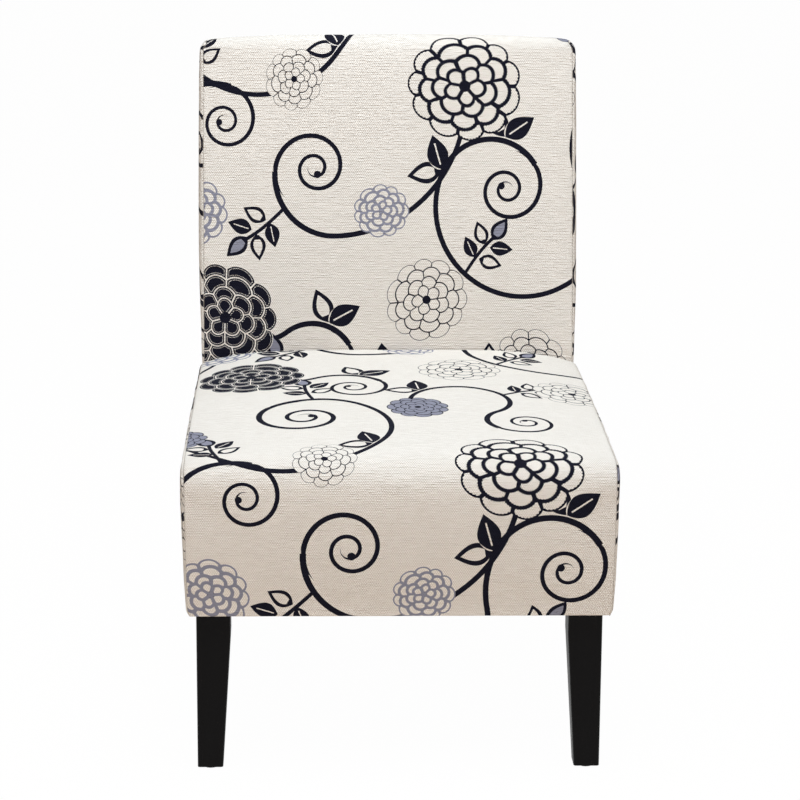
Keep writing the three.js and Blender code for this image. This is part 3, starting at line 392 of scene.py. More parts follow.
def sewn_shell(form, cuts):
    """The whole form as one closed shell of five panels."""
    bm = new_shell()
    us, vs = form["us"], form["vs"]
    long_u, long_v, half = form["span"], form["rise"], form["half_width"]
    across = [x / half for x in crowded(-half, half)]

    def point(u, v, x):
        return form_point(form, u, v, x)

    route = [(0, v) for v in vs] + [(u, 1) for u in us[1:]]

    def run(spot):
        return spot[1] * long_v + spot[0] * long_u

    def cut(panel, right, up):
        start = cuts[panel]
        return (start[0] + right, start[1] + up)

    lay_grid(
        bm, across, route,
        lambda x, spot: point(*spot, x), STRIP,
        lambda x, spot: cut(STRIP, x * half, run(spot)),
        lambda x, spot: ((1 - abs(x)) * half, run(spot)),
    )
    for panel, side in ((SIDE_LEFT, 1), (SIDE_RIGHT, -1)):
        def side_seam(u, v):
            ways = [(u * long_u, v * long_v), ((1 - v) * long_v, long_v + u * long_u)]
            if form is back_form:
                ways.append(((1 - u) * long_u, v * long_v))
            return min(ways)

        lay_grid(
            bm, us, vs,
            lambda u, v, side=side: point(u, v, side), panel,
            lambda u, v, side=side, panel=panel: cut(panel, side * u * long_u, v * long_v),
            side_seam,
        )
    lay_grid(
        bm, across, vs,
        lambda x, v: point(1, v, x), REAR,
        lambda x, v: cut(REAR, -x * half, v * long_v),
        lambda x, v: min(((1 - abs(x)) * half, v * long_v), ((1 - v) * long_v, x * half)),
    )
    lay_grid(
        bm, across, us,
        lambda x, u: point(u, 0, x), UNDER,
        lambda x, u: (0, 0),
        lambda x, u: (NO_SEAM, 0),
    )
    bmesh.ops.remove_doubles(bm, verts=bm.verts, dist=GAP / 2)
    bmesh.ops.recalc_face_normals(bm, faces=bm.faces)
    return bm


def hold(bm, weight):
    """Writes how firmly each point is held, from its place and the panels it is in."""
    panels = bm.faces.layers.int["panel"]
    held = bm.verts.layers.float["held"]
    for vertex in bm.verts:
        vertex[held] = weight(vertex, {face[panels] for face in vertex.link_faces})


def sink(bm):
    """Lowers the cloth between its seams, to leave its swelling room."""
    seam_gap = bm.verts.layers.float["seam_gap"]
    held = bm.verts.layers.float["held"]
    bm.normal_update()
    for vertex in bm.verts:
        free = (1 - vertex[held]) * smoothstep(vertex[seam_gap], 0, SINK_REACH)
        vertex.co -= vertex.normal * (SINK_DEPTH * free)


def in_scene(name, data):
    made = bpy.data.objects.new(name, data)
    bpy.context.scene.collection.objects.link(made)
    return made


def mesh_in_scene(name, bm):
    mesh = bpy.data.meshes.new(name)
    bm.to_mesh(mesh)
    return in_scene(name, mesh)


def discard(piece):
    mesh = piece.data
    bpy.data.objects.remove(piece)
    bpy.data.meshes.remove(mesh)


def swell(bm):
    """Swells a closed shell with Blender's cloth, as its filling does, and keeps the result."""
    held = bm.verts.layers.float["held"]
    piece = mesh_in_scene("swelling", bm)
    group = piece.vertex_groups.new(name="held")
    for number, vertex in enumerate(bm.verts):
        group.add([number], vertex[held], "REPLACE")
    settings = piece.modifiers.new("swelling", "CLOTH").settings
    settings.vertex_group_mass = "held"
    for setting, value in SWELL_SETTINGS.items():
        setattr(settings, setting, value)
    settings.effector_weights.gravity = 0
    for number in range(1, SWELL_FRAMES + 1):
        bpy.context.scene.frame_set(number)
    swelled = piece.evaluated_get(bpy.context.evaluated_depsgraph_get())
    for vertex, moved in zip(bm.verts, swelled.data.vertices):
        way = moved.co - vertex.co
        if way.length > SWELL_LIMIT:
            way *= SWELL_LIMIT / way.length
        vertex.co += way
    bpy.context.scene.frame_set(1)
    discard(piece)


def move_along_normals(bm, distance):
    """Moves each point along its normal by a distance that may be None."""
    bm.normal_update()
    moves = [(vertex, distance(vertex)) for vertex in bm.verts]
    for vertex, way in moves:
        if way is not None:
            vertex.co += vertex.normal * way


def sew(bm, seed):
    """Draws the cloth in at its seams, with the small puckers that sewing leaves beside them."""
    seam_gap = bm.verts.layers.float["seam_gap"]
    seam_run = bm.verts.layers.float["seam_run"]

    def distance(vertex):
        way, run = vertex[seam_gap], vertex[seam_run]
        if way >= NO_SEAM:
            return None
        groove = SEAM_DEPTH * clamp(1 - way / SEAM_REACH) ** 2
        wave = sum(
            share * noise.noise(Vector((run * along, seed + offset, way * across)))
            for share, along, across, offset in PUCKER_WAVES
        )
        rise = clamp(way / PUCKER_START)
        return PUCKER * wave * math.exp(-way / PUCKER_REACH) * rise - groove

    move_along_normals(bm, distance)


def settle(bm, seed):
    """Leaves the cloth uneven by a fraction of a millimetre, as batting does."""
    held = bm.verts.layers.float["held"]
    starts = (Vector((seed, 0, 0)), Vector((0, seed, 0)))

    def distance(vertex):
        wave = sum(
            share * noise.noise(vertex.co * waves + start)
            for (share, waves), start in zip(SETTLE_WAVES, starts)
        )
        return wave * SETTLE_DEPTH * (1 - SETTLE_HELD_SHARE * vertex[held])

    move_along_normals(bm, distance)


def new_piece(name, bm, slot, replaced=None, modifiers=()):
    """Makes a bmesh a piece of the chair that rides with it."""
    piece = mesh_in_scene(name, bm)
    bm.free()
    piece.data.materials.append(slot_finishes[slot])
    for kind, settings in modifiers:
        modifier = piece.modifiers.new(kind.lower(), kind)
        for setting, value in settings.items():
            setattr(modifier, setting, value)
    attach(piece, "root")
    if replaced:
        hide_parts(replaced)
    return piece


# Finishes. Sums on a Field add the Math nodes that work them out.
def worked_out(operation):
    return lambda field, *others: field.math(operation, *others)


class Field:
    """A value or vector that varies over a surface: one socket of a finish."""

    def __init__(self, finish, socket):
        self.finish = finish
        self.socket = socket

    def math(self, operation, *others):
        values = dict(enumerate((self, *others)))
        return self.finish.node("ShaderNodeMath", {"operation": operation}, values)

    __add__ = __radd__ = worked_out("ADD")
    __sub__ = worked_out("SUBTRACT")
    __mul__ = __rmul__ = worked_out("MULTIPLY")
    __truediv__ = worked_out("DIVIDE")
    __lt__ = worked_out("LESS_THAN")
    __gt__ = worked_out("GREATER_THAN")
    __abs__ = worked_out("ABSOLUTE")
    fract = worked_out("FRACT")
    sin = worked_out("SINE")
    least = worked_out("MINIMUM")
    most = worked_out("MAXIMUM")
    near = worked_out("COMPARE")  # within a reach of a value

    def __rsub__(self, other):
        values = {0: other, 1: self}
        return self.finish.node("ShaderNodeMath", {"operation": "SUBTRACT"}, values)

    def vector(self, operation, *others, output=0):
        values = dict(enumerate((self, *others)))
        settings = {"operation": operation}
        return self.finish.node("ShaderNodeVectorMath", settings, values, output)

    def length(self):
        return self.vector("LENGTH", output="Value")

    def other_outputs(self, *names):
        outputs = self.socket.node.outputs
        return [Field(self.finish, outputs[name]) for name in names]

    def parts(self):
        return self.finish.node("ShaderNodeSeparateXYZ", {}, {0: self}).other_outputs("X", "Y", "Z")


MIX_SOCKETS = {"FLOAT": (2, 3, 0), "VECTOR": (4, 5, 1), "RGBA": (6, 7, 2)}


class Finish:
    """A material's or world's nodes, and the one method that adds to them."""

    def __init__(self, owner):
        self.owner = owner
        owner.use_nodes = True
        self.tree = owner.node_tree
        self.tree.nodes.clear()

    def node(self, kind, settings=None, inputs=None, output=0):
        made = self.tree.nodes.new(kind)
        for name, value in (settings or {}).items():
            setattr(made, name, value)
        for name, value in (inputs or {}).items():
            socket = made.inputs[name]
            if isinstance(value, Field):
                self.tree.links.new(value.socket, socket)
            else:
                socket.default_value = value
        return Field(self, made.outputs[output]) if made.outputs else None

    def blend(self, first, second, share, kind="FLOAT"):
        """A number, vector or colour between two."""
        left, right, output = MIX_SOCKETS[kind]
        values = {0: share, left: first, right: second}
        return self.node("ShaderNodeMix", {"data_type": kind}, values, output)

    def paint(self, first, second, share):
        first, second = (
            colour if isinstance(colour, Field) else (*colour, 1) for colour in (first, second)
        )
        return self.blend(first, second, share, "RGBA")

    def join(self, x, y):
        return self.node("ShaderNodeCombineXYZ", {}, {0: x, 1: y})

    def place(self):
        return self.node("ShaderNodeTexCoord", {}, {}, "Object")

    def flat_map(self, name):
        return self.node("ShaderNodeUVMap", {"uv_map": name})

    def cloud(self, vector, stretch, detail, roughness=0.5):
        """Noise of so many waves a metre along each axis."""
        spread = self.node("ShaderNodeMapping", {}, {0: vector, "Scale": stretch})
        values = {"Vector": spread, "Scale": 1.0, "Detail": detail, "Roughness": roughness}
        return self.node("ShaderNodeTexNoise", {"noise_dimensions": "3D"}, values, 0)

    def bump(self, height, strength, distance):
        values = {"Height": height, "Strength": strength, "Distance": distance}
        return self.node("ShaderNodeBump", {}, values)

    def seen_white(self):
        """1 where a camera, a reflection or a clear surface looks at the stage, 0 for its light."""
        camera = self.node("ShaderNodeLightPath", {}, {}, "Is Camera Ray")
        glossy, clear = camera.other_outputs("Is Glossy Ray", "Is Transmission Ray")
        return camera.most(glossy).most(clear)

    def close(self, **sockets):
        """Ends the material with a Principled shader."""
        values = {name.replace("_", " "): value for name, value in sockets.items()}
        return self.end(self.node("ShaderNodeBsdfPrincipled", {}, values))

    def end(self, shader, output="ShaderNodeOutputMaterial"):
        self.node(output, {}, {"Surface": shader})
        return self.owner


# The print: an endless cloth of scrolling vines, leaf sprigs and rosettes. Every place is in metres
# on one repeat of the cloth, which goes on in both directions.
REPEAT = (0.60, 0.70)
SCROLL_PITCH = 0.15  # how fast a scroll opens
SCROLL_SPREAD = 1.06  # in a scroll's own size, as the next five: how far out it can reach
SCROLL_ARM = (0.026, 0.036)  # half the arm's width: a share of its radius, and what is added
SCROLL_SPAN = (0.61, 0.43)  # the arm's middle radius and half its span
SCROLL_END = 0.20  # radius at which the knob sits
KNOB_INSET = 0.8
KNOB_SIZE = 0.09
VINE_WIDTH = 0.0041  # half widths, at a scroll and at a trail's end
VINE_TIP = 0.0033
SOLID, BOLD, GREY, THIN, GREY_LINE = range(1, 6)
ROSETTES = [  # place, turn, radius, hand, style
    ((0.105, 0.600), 0.3, 0.078, 1, SOLID),
    ((0.450, 0.225), 1.1, 0.082, 1, BOLD),
    ((0.330, 0.435), 0.0, 0.044, 1, GREY),
    ((0.395, 0.625), 2.0, 0.060, 1, THIN),
    ((0.060, 0.050), 0.7, 0.050, 1, GREY_LINE),
    ((0.205, 0.235), 2.6, 0.044, 1, THIN),
    ((0.015, 0.330), 0.4, 0.042, 1, GREY),
    ((0.545, 0.530), 0.4, 0.056, 1, THIN),
    ((0.330, 0.050), 1.4, 0.040, 1, GREY_LINE),
]
# A scroll's place, turn, size and hand; an arc's radius and sweep; the rosette it ends under
TRAILS = [
    ((0.180, 0.395), 130, 0.068, -1, (0.080, -95), (6, 0, 0)),
    ((0.245, 0.530), 40, 0.050, 1, (0.062, 95), (0, 0, 0)),
    ((0.235, 0.110), 185, 0.058, 1, (0.085, 95), (1, 0, 0)),
    ((0.470, 0.375), 215, 0.046, -1, (0.050, -90), (2, 0, 0)),
    ((0.510, 0.080), 40, 0.054, 1, (0.075, 125), (4, 1, 0)),
    ((0.105, 0.175), 80, 0.050, 1, (0.078, 60), (4, 0, 0)),
]
LEAFY, BUD = 1, 2
SPRIGS = [  # the trail and arc it grows on, how far along, which side, size, kind
    (0, 0, 0.45, 1, 0.056, LEAFY),
    (0, 1, 0.35, -1, 0.046, BUD),
    (1, 0, 0.40, 1, 0.048, BUD),
    (2, 0, 0.40, 1, 0.056, LEAFY),
    (2, 1, 0.60, -1, 0.048, BUD),
    (3, 1, 0.72, 1, 0.046, BUD),
    (3, 1, 0.30, 1, 0.052, LEAFY),
    (4, 0, 0.35, 1, 0.048, BUD),
    (4, 1, 0.35, -1, 0.052, LEAFY),
    (5, 0, 0.50, 1, 0.054, LEAFY),
]
PETAL_RINGS = [  # middle radius, half length, half width, petals, turn
    (0.80, 0.17, 0.275, 11, 0.00),
    (0.60, 0.17, 0.250, 9, 0.37),
    (0.40, 0.15, 0.215, 7, 0.11),
    (0.22, 0.13, 0.150, 5, 0.52),
]
PLAIN_LEAF, PALE_LEAF, GREY_LEAF = 0, 1, 2
LEAVES = {  # in a sprig's own size: middle, turn, half length, centre
    LEAFY: [
        ((0.62, 0.06), 8, 0.36, GREY_LEAF),
        ((0.18, 0.38), 62, 0.33, PALE_LEAF),
        ((0.26, -0.33), -52, 0.32, PLAIN_LEAF),
        ((-0.30, 0.34), 68, 0.31, PLAIN_LEAF),
        ((-0.22, -0.36), -64, 0.33, PALE_LEAF),
    ],
    BUD: [((-0.42, 0.36), 42, 0.52, PALE_LEAF), ((-0.42, -0.36), -42, 0.52, PLAIN_LEAF)],
}
LEAF_SLIMNESS = 0.62
LEAF_TAPER = (0.95, 0.33)
LEAF_BORDER = 0.42
LEAF_HOLLOW_START = -0.6
RIB_WIDTH = 0.07
RIB_SPAN = (-0.1, 0.62)  # middle and half length
STEM_WIDTH = 0.045
STEM_SPAN = (-0.3, 0.66)
STEM_BOW = (1.7, 0.10)  # waves and height
SPRIG_OFFSET = 0.93  # of a sprig's size, from its vine to its middle


def trace_trails():
    """Follows each trail from its scroll to its rosette, and gives the scrolls and arcs to draw."""
    scrolls, arcs = [], []
    for place, turn, size, hand, (radius, sweep), (rosette, over_u, over_v) in TRAILS:
        turn = math.radians(turn)
        scrolls.append((place, turn, size, hand))
        centre = Vector(place)
        spin = Matrix.Rotation(turn, 2)
        tip = centre + spin @ Vector((size, 0))
        ahead = spin @ Vector((SCROLL_PITCH, hand))
        heading = math.atan2(ahead.y, ahead.x)
        over = Vector((over_u * REPEAT[0], over_v * REPEAT[1]))
        target = Vector(ROSETTES[rosette][0]) + over
        sweep = math.radians(sweep)
        made = []
        for used in (0, 0.5):
            if used:
                way = target - tip
                bend = (math.atan2(way.y, way.x) - heading + math.pi) % TAU - math.pi
                radius = way.length / (2 * abs(math.sin(bend)))
                sweep = 2 * bend
            aside = Vector((-math.sin(heading), math.cos(heading)))
            inward = math.copysign(radius, sweep) * aside
            middle = tip + inward
            start = math.atan2(-inward.y, -inward.x)
            made.append((tuple(middle), radius, start, sweep, used))
            end = start + sweep
            tip = middle + radius * Vector((math.cos(end), math.sin(end)))
            heading += sweep
        arcs.append(made)
    return scrolls, arcs


def place_sprigs(arcs):
    placed = []
    for trail, number, share, side, size, kind in SPRIGS:
        middle, radius, start, sweep, _ = arcs[trail][number]
        angle = start + sweep * share
        out = angle if side > 0 else angle + math.pi
        root = Vector(middle) + radius * Vector((math.cos(angle), math.sin(angle)))
        spot = root + SPRIG_OFFSET * size * Vector((math.cos(out), math.sin(out)))
        placed.append((tuple(spot), out, size, 1, kind))
    return placed


def from_motif(cloth, place):
    """The way from a motif's middle, on the nearest repeat of the cloth."""
    moved = cloth.vector("SUBTRACT", (*place, 0))
    half = (REPEAT[0] / 2, REPEAT[1] / 2, 1)
    return moved.vector("WRAP", half, tuple(-value for value in half))


def turned_in(vector, turn, scale, style=0):
    """A way from a motif in the motif's own size and turn, with its style as Z."""
    values = {0: vector, "Location": (0, 0, -style), "Rotation": (0, 0, turn), "Scale": scale}
    return vector.finish.node("ShaderNodeMapping", {"vector_type": "TEXTURE"}, values)


FAR = (9.0, 9.0, 0.0)


def inside_motifs(cloth, motifs, spread=1):
    """Where each point lies in the motif that holds it, or far off."""
    found = FAR
    for place, turn, size, hand, style in motifs:
        way = from_motif(cloth, place)
        own = turned_in(way, turn, (size, size * hand, 1), style)
        inside = way.length() < size * spread
        found = cloth.finish.blend(found, own, inside, "VECTOR")
    return found


def draw_arcs(cloth, arcs):
    drawn = None
    thinning = (VINE_TIP - VINE_WIDTH) / 2
    for middle, radius, start, sweep, used in (arc for made in arcs for arc in made):
        own = turned_in(from_motif(cloth, middle), start + sweep / 2, (1, 1, 1))
        x, y, _ = own.parts()
        angle = y.math("ARCTAN2", x)
        width = VINE_WIDTH + thinning * (2 * used + 0.5)
        wide = angle.math("MULTIPLY_ADD", thinning / sweep, width)
        hit = (abs(own.length() - radius) < wide) * angle.near(0, abs(sweep) / 2)
        drawn = hit if drawn is None else drawn.most(hit)
    return drawn


def draw_scrolls(cloth, scrolls):
    found = inside_motifs(cloth, [(*scroll, 0) for scroll in scrolls], SCROLL_SPREAD)
    radius = found.length()
    x, y, _ = found.parts()
    angle = y.math("ARCTAN2", x)
    wound = (radius.math("LOGARITHM", math.e) / SCROLL_PITCH - angle) / TAU
    off = abs((wound + 0.5).fract() - 0.5) * radius * (TAU * SCROLL_PITCH)
    thick, least = SCROLL_ARM
    arm = (off < radius * thick + least) * radius.near(*SCROLL_SPAN)
    turn = math.log(SCROLL_END) / SCROLL_PITCH
    reach = KNOB_INSET * SCROLL_END
    knob = (reach * math.cos(turn), reach * math.sin(turn), 0)
    return arm.most(found.vector("DISTANCE", knob, output="Value") < KNOB_SIZE)


def draw_sprigs(cloth, sprigs):
    """Masks for the dark, grey and pale parts of the leaf sprigs."""
    finish = cloth.finish
    found = inside_motifs(cloth, sprigs)
    gx, gy, kind = found.parts()
    flat = finish.join(gx, gy)
    leaf = FAR
    for sort, leaves in LEAVES.items():
        of_kind = kind.near(sort, 0.5)
        for middle, turn, half, centre in leaves:
            moved = flat.vector("SUBTRACT", (*middle, 0))
            own = turned_in(moved, math.radians(turn), (half, half * LEAF_SLIMNESS, 1))
            inside = (own.length() < 1) * of_kind
            marked = own.vector("ADD", (0, 0, centre))
            leaf = finish.blend(leaf, marked, inside, "VECTOR")
    lx, ly, centre = leaf.parts()
    full, taper = LEAF_TAPER
    width = (1 - lx * lx) * (full - taper * lx)
    body = (abs(ly) < width) * (lx < 1)
    hollow = (abs(ly) < width - LEAF_BORDER) * (lx > LEAF_HOLLOW_START)
    rib = (abs(ly) < RIB_WIDTH) * lx.near(*RIB_SPAN)
    grey = body * hollow * centre.near(GREY_LEAF, 0.5)
    pale = (hollow * centre.near(PALE_LEAF, 0.5)).most(rib * centre.near(PLAIN_LEAF, 0.5))
    waves, height = STEM_BOW
    bow = (gx * waves + math.pi / 2).sin() * height - height / 2
    stem = (abs(gy - bow) < STEM_WIDTH) * gx.near(*STEM_SPAN) * kind.near(LEAFY, 0.5)
    return body.most(stem), grey, body * pale


PETAL_WAVES = [(3, 0.8, 0.045), (2, 2.1, 0.05)]  # waves round a rosette, start, sway
ROSETTE_WAVE = (2, 1, 0.035)
STITCHES = 220  # waves of a stitched line, and of a hatched one
HATCHES = 110
HATCH = (0.006, 0.032)  # sway and mean of a hatched line's width
PALE_LINE = 0.012
PALE_STITCH = (0.04, 0.006)  # way from a petal's edge, half width
THIN_LINE = 0.014
EMBOSSED = (0.03, 0.45)  # width, and how high on a petal it starts
GREY_WIDTH = 0.045
HEART = 0.10


def petal_ring(finish, radius, turn, drawn, ring):
    """Lays one ring of petals over the rings outside it."""
    lines, inside, raised = drawn
    middle, half, wide, count, offset = ring
    sector = abs(turn.math("MULTIPLY_ADD", count, offset).fract() - 0.5)
    x = sector * radius * (TAU / count / wide)
    y = radius - middle
    edge = (finish.join(x, y.most(0) / half).length() - 1) * half
    between = (0.5 - sector) * radius * (TAU / count)
    within = edge < 0
    rim = abs(edge)
    lines = finish.blend(lines.least(rim), rim.least(between), within)
    raised = finish.blend(raised, y / (2 * half) + 0.5, within)
    return lines, inside.most(within), raised


def draw_rosettes(cloth, colour, ground, navy):
    """Paints the rosettes over a colour, each in its style, with the bare ground in open petals."""
    finish = cloth.finish
    x, y, style = inside_motifs(cloth, ROSETTES).parts()
    angle = y.math("ARCTAN2", x)
    plain = finish.join(x, y).length()
    waves = [(angle * count + start).sin() * sway for count, start, sway in PETAL_WAVES]
    turn = (angle + sum(waves)) / TAU
    count, start, sway = ROSETTE_WAVE
    radius = plain * ((angle * count + start).sin() * sway + 1)
    nowhere = plain * 0
    drawn = (nowhere + 1, nowhere, nowhere)
    for ring in PETAL_RINGS:
        drawn = petal_ring(finish, radius, turn, drawn, ring)
    lines, inside, raised = drawn
    solid = inside * style.near(SOLID, 0.5)
    grey = style.near(GREY, 0.5)
    stitch = lines.near(*PALE_STITCH) * ((angle * plain * STITCHES).sin() > 0)
    colour = finish.paint(colour, navy, solid)
    colour = finish.paint(colour, ground, solid * (lines < PALE_LINE).most(stitch))
    colour = finish.paint(colour, ground, inside * (style > SOLID + 0.5))
    colour = finish.paint(colour, PRINT_GREY, inside * grey)
    hatch = (angle * HATCHES).sin() * HATCH[0] + HATCH[1]
    embossed = (lines < EMBOSSED[0]) * (raised > EMBOSSED[1])
    outline = (lines < hatch) * style.near(BOLD, 0.5)
    outline = outline.most((lines < THIN_LINE) * style.near(THIN, 0.5))
    outline = outline.most(embossed * grey)
    heart = (plain < HEART) * (style > 0.5)
    colour = finish.paint(colour, navy, (outline * inside).most(heart))
    grey_lines = (lines < GREY_WIDTH) * style.near(GREY_LINE, 0.5)
    return finish.paint(colour, PRINT_GREY, inside * grey_lines)


LINEN = (0.90, 0.838, 0.758)
LINEN_SHADE = (0.67, 0.585, 0.495)
NAVY = (0.0035, 0.0035, 0.0075)
NAVY_THREAD = (0.012, 0.012, 0.022)
PRINT_GREY = (0.27, 0.265, 0.315)
# Painted shade along the seams, standing in for the shading of the seam's crease: its colour, and
# the width from a seam over which it fades
PAINTED_SEAM_SHADE = (0.42, 0.36, 0.30)
PAINTED_SEAM_SHADE_WIDTH = 0.0012
WARP_PITCH = 0.00146
WEFT_PITCH = 0.00219
# Noise along the threads: waves a metre across the cloth and along it, and its detail
SLUB = ((60, 680, 1), 2.0)
STREAK = ((75, 240, 1), 1.0)
WARP = ((680, 110, 1), 1.0)
# How much each part of the weave lightens or darkens the cloth, and its height in millimetres
TINT = {"slub": 0.9, "streak": 1.2, "warp": 0.3, "row": 0.15, "crossing": 0.9}
MEAN_TINT = 0.69
RELIEF = {"slub": 0.20, "streak": 1.50, "warp": 0.05, "row": 0.20, "crossing": 0.15}
MILLIMETRE = 0.001
# How far the painted shade at a seam darkens the cloth
PAINTED_SEAM_SHADE_SHARE = 0.6


def linen_finish():
    finish = Finish(bpy.data.materials.new("printed_linen"))
    cloth = finish.flat_map("cloth_flat")
    u, v, _ = cloth.parts()
    over = (v * (math.pi / WEFT_PITCH)).sin()
    slub, streak, warp = (finish.cloud(cloth, *sort) - 0.5 for sort in (SLUB, STREAK, WARP))
    weave = {
        "slub": slub,
        "streak": over * streak,
        "warp": warp,
        "row": (v * (TAU / WEFT_PITCH)).sin(),
        "crossing": (u * (math.pi / WARP_PITCH)).sin() * over,
    }
    threads = sum(weave[part] * share for part, share in TINT.items()) + MEAN_TINT
    threads = threads.least(1).most(0)
    ground = finish.paint(LINEN_SHADE, LINEN, threads)
    navy = finish.paint(NAVY, NAVY_THREAD, threads)
    scrolls, arcs = trace_trails()
    vines = draw_arcs(cloth, arcs).most(draw_scrolls(cloth, scrolls))
    dark, grey, pale = draw_sprigs(cloth, place_sprigs(arcs))
    colour = ground
    for paint, mask in ((navy, vines), (navy, dark), (PRINT_GREY, grey), (ground, pale)):
        colour = finish.paint(colour, paint, mask)
    colour = draw_rosettes(cloth, colour, ground, navy)
    # Painted shade: the cloth's colour darkens towards each seam line
    seam, _, _ = finish.flat_map("seam_way").parts()
    painted_shade_at_seam = (1 - seam / PAINTED_SEAM_SHADE_WIDTH).most(0)
    colour = finish.paint(colour, PAINTED_SEAM_SHADE, painted_shade_at_seam * PAINTED_SEAM_SHADE_SHARE)
    height = sum(weave[part] * depth for part, depth in RELIEF.items())
    return finish.close(
        Base_Color=colour, Roughness=0.9, Sheen_Weight=0.02, Sheen_Roughness=0.5,
        Specular_IOR_Level=0.04, Normal=finish.bump(height, 1.0, MILLIMETRE),
    )


GRAIN = (4.0, 0.6)  # detail and roughness of the grain's noise
GRAIN_ROUGHNESS = 0.18  # how much rougher the grain's peaks are than its hollows


def plain_finish(
    name, colour, shade, grain, roughness, bump=0.3, distance=0.0004, metallic=0.0, gloss=0.5
):
    """A finish whose colour and roughness vary with one stretched grain."""
    finish = Finish(bpy.data.materials.new(name))
    streak = finish.cloud(finish.place(), grain, *GRAIN)
    rough = streak * GRAIN_ROUGHNESS + (roughness - GRAIN_ROUGHNESS / 2)
    return finish.close(
        Base_Color=finish.paint(shade, colour, streak), Roughness=rough, Metallic=metallic,
        Specular_IOR_Level=gloss, Normal=finish.bump(streak, bump, distance),
    )


slot_finishes = {
    "linen": linen_finish(),
    "dark_legs": plain_finish(
        "dark_satin_wood", (0.0045, 0.004, 0.004), (0.0025, 0.002, 0.002), (160, 160, 9), 0.40,
        bump=0.12, gloss=0.09,
    ),
    "timber": plain_finish(
        "frame_timber", (0.62, 0.45, 0.27), (0.45, 0.30, 0.16), (14, 160, 160), 0.6
    ),
    "foam": plain_finish(
        "cut_foam", (0.86, 0.75, 0.47), (0.75, 0.62, 0.36), (700, 700, 700), 0.85
    ),
    "felt": plain_finish("felt_pad", (0.30, 0.29, 0.27), (0.20, 0.19, 0.18), (500, 500, 900), 0.9),
    "dust_cloth": plain_finish(
        "dust_cloth", (0.014, 0.014, 0.016), (0.009, 0.009, 0.010), (900, 900, 900), 0.8
    ),
    "webbing": plain_finish(
        "webbing", (0.035, 0.035, 0.038), (0.02, 0.02, 0.022), (900, 80, 900), 0.8
    ),
    "steel": plain_finish(
        "bright_steel", (0.62, 0.63, 0.64), (0.5, 0.51, 0.52), (90, 90, 90), 0.34, 0.1, 0.0002, 1.0
    ),
    "glide_plastic": plain_finish(
        "glide_plastic", (0.022, 0.022, 0.024), (0.015, 0.015, 0.016), (300, 300, 300), 0.45, 0.1
    ),
}
for subpart in frame["record"]["subparts"]:
    node = frame["nodes"][subpart["node"]]
    for material_slot in node.material_slots:
        material_slot.material = slot_finishes[subpart["material_slot"]]


# Covers. Each panel is cut from the printed cloth at a place of its own.
seat_cuts = {STRIP: (0.30, 0.02), SIDE_LEFT: (0.05, 0.12), SIDE_RIGHT: (0.55, 0.40), REAR: (0, 0)}
back_cuts = {
    STRIP: (0.34, 0.33), SIDE_LEFT: (0.45, 0.05), SIDE_RIGHT: (0.25, 0.30), REAR: (0.1, 0.5),
}
SEAT_TAIL = 0.07  # how far the seat's cloth goes down behind it
SIDE_RETURN = 0.015  # how far the side cloth turns in behind the seat
REAR_SLACK = 0.0012  # how far forward the sewing may have drawn the seat's rear edges
REAR_HOLD = 0.05  # how far from its rear edge, and from its hem, the seat's cloth is held
HEM_HOLD = 0.03
BACK_HOLD = (0.40, 0.47)  # heights between which the hold of the seat on the back's cloth ends


def seat_weight(vertex, around):
    near_rear = smoothstep(vertex.co.y - Y_SHIFT, SEAT_DEPTH - REAR_HOLD, SEAT_DEPTH)
    near_hem = 1 - smoothstep(vertex.co.z, HEM_LEVEL, HEM_LEVEL + HEM_HOLD)
    return 1 if around & {UNDER, REAR} or len(around) > 1 else max(near_rear, near_hem)


def back_weight(vertex, around):
    near_seat = 1 - smoothstep(vertex.co.z, *BACK_HOLD)
    return 1 if UNDER in around or len(around) > 1 else near_seat


def cut_size(bm):
    """The width, length and area of the flat cloth that a panel is cut from."""
    pattern = bm.loops.layers.uv["cloth_flat"]
    spots = [loop[pattern].uv for face in bm.faces for loop in face.loops]
    width, length = (
        max(spot[axis] for spot in spots) - min(spot[axis] for spot in spots) for axis in (0, 1)
    )
    area = 0
    for face in bm.faces:
        first, *others = [loop[pattern].uv.copy() for loop in face.loops]
        for second, third in zip(others, others[1:]):
            area += abs((second - first).cross(third - first)) / 2
    return (width, length), area


def fold(bm, low, high, across, limit, run):
    """Carries a panel on past its open edge that is in a box, within limits of X and Y."""
    pattern = bm.loops.layers.uv["cloth_flat"]

    def on_edge(vertex):
        return all(a <= place <= b for a, place, b in zip(low, vertex.co, high))

    edges = [edge for edge in bm.edges if edge.is_boundary and all(map(on_edge, edge.verts))]
    along = {vertex for edge in edges for vertex in edge.verts}
    spots = {vertex: vertex.link_loops[0][pattern].uv.copy() for vertex in along}
    made = bmesh.ops.extrude_edge_only(bm, edges=edges)["geom"]
    turned = {}
    for vertex in (item for item in made if isinstance(item, bmesh.types.BMVert)):
        nearby = (edge.other_vert(vertex) for edge in vertex.link_edges)
        kept = next(other for other in nearby if other in spots)
        turned[vertex] = spots[kept] + Vector(run)
        vertex.co += Vector(across)
        vertex.co.x = clamp(vertex.co.x, -limit[0], limit[0])
        vertex.co.y = clamp(vertex.co.y, *limit[1])
    spots.update(turned)
    for face in (item for item in made if isinstance(item, bmesh.types.BMFace)):
        face.smooth = True
        for loop in face.loops:
            loop[pattern].uv = spots[loop.vert]


def cover_piece(bm, panel, name, replaced, folds=()):
    """One panel of a shell as a piece of stretched cloth."""
    part = bm.copy()
    layer = part.faces.layers.int["panel"]
    others = [face for face in part.faces if face[layer] != panel]
    bmesh.ops.delete(part, geom=others, context="FACES")
    for folded in folds:
        fold(part, *folded)
    flat, area = cut_size(part)
    modifiers = [
        ("SUBSURF", {"levels": 1, "render_levels": 1}),
        ("SOLIDIFY", {"thickness": CLOTH - GAP, "offset": -1}),
    ]
    piece = new_piece(name, part, "linen", replaced, modifiers)
    area = min(area, flat[0] * flat[1])


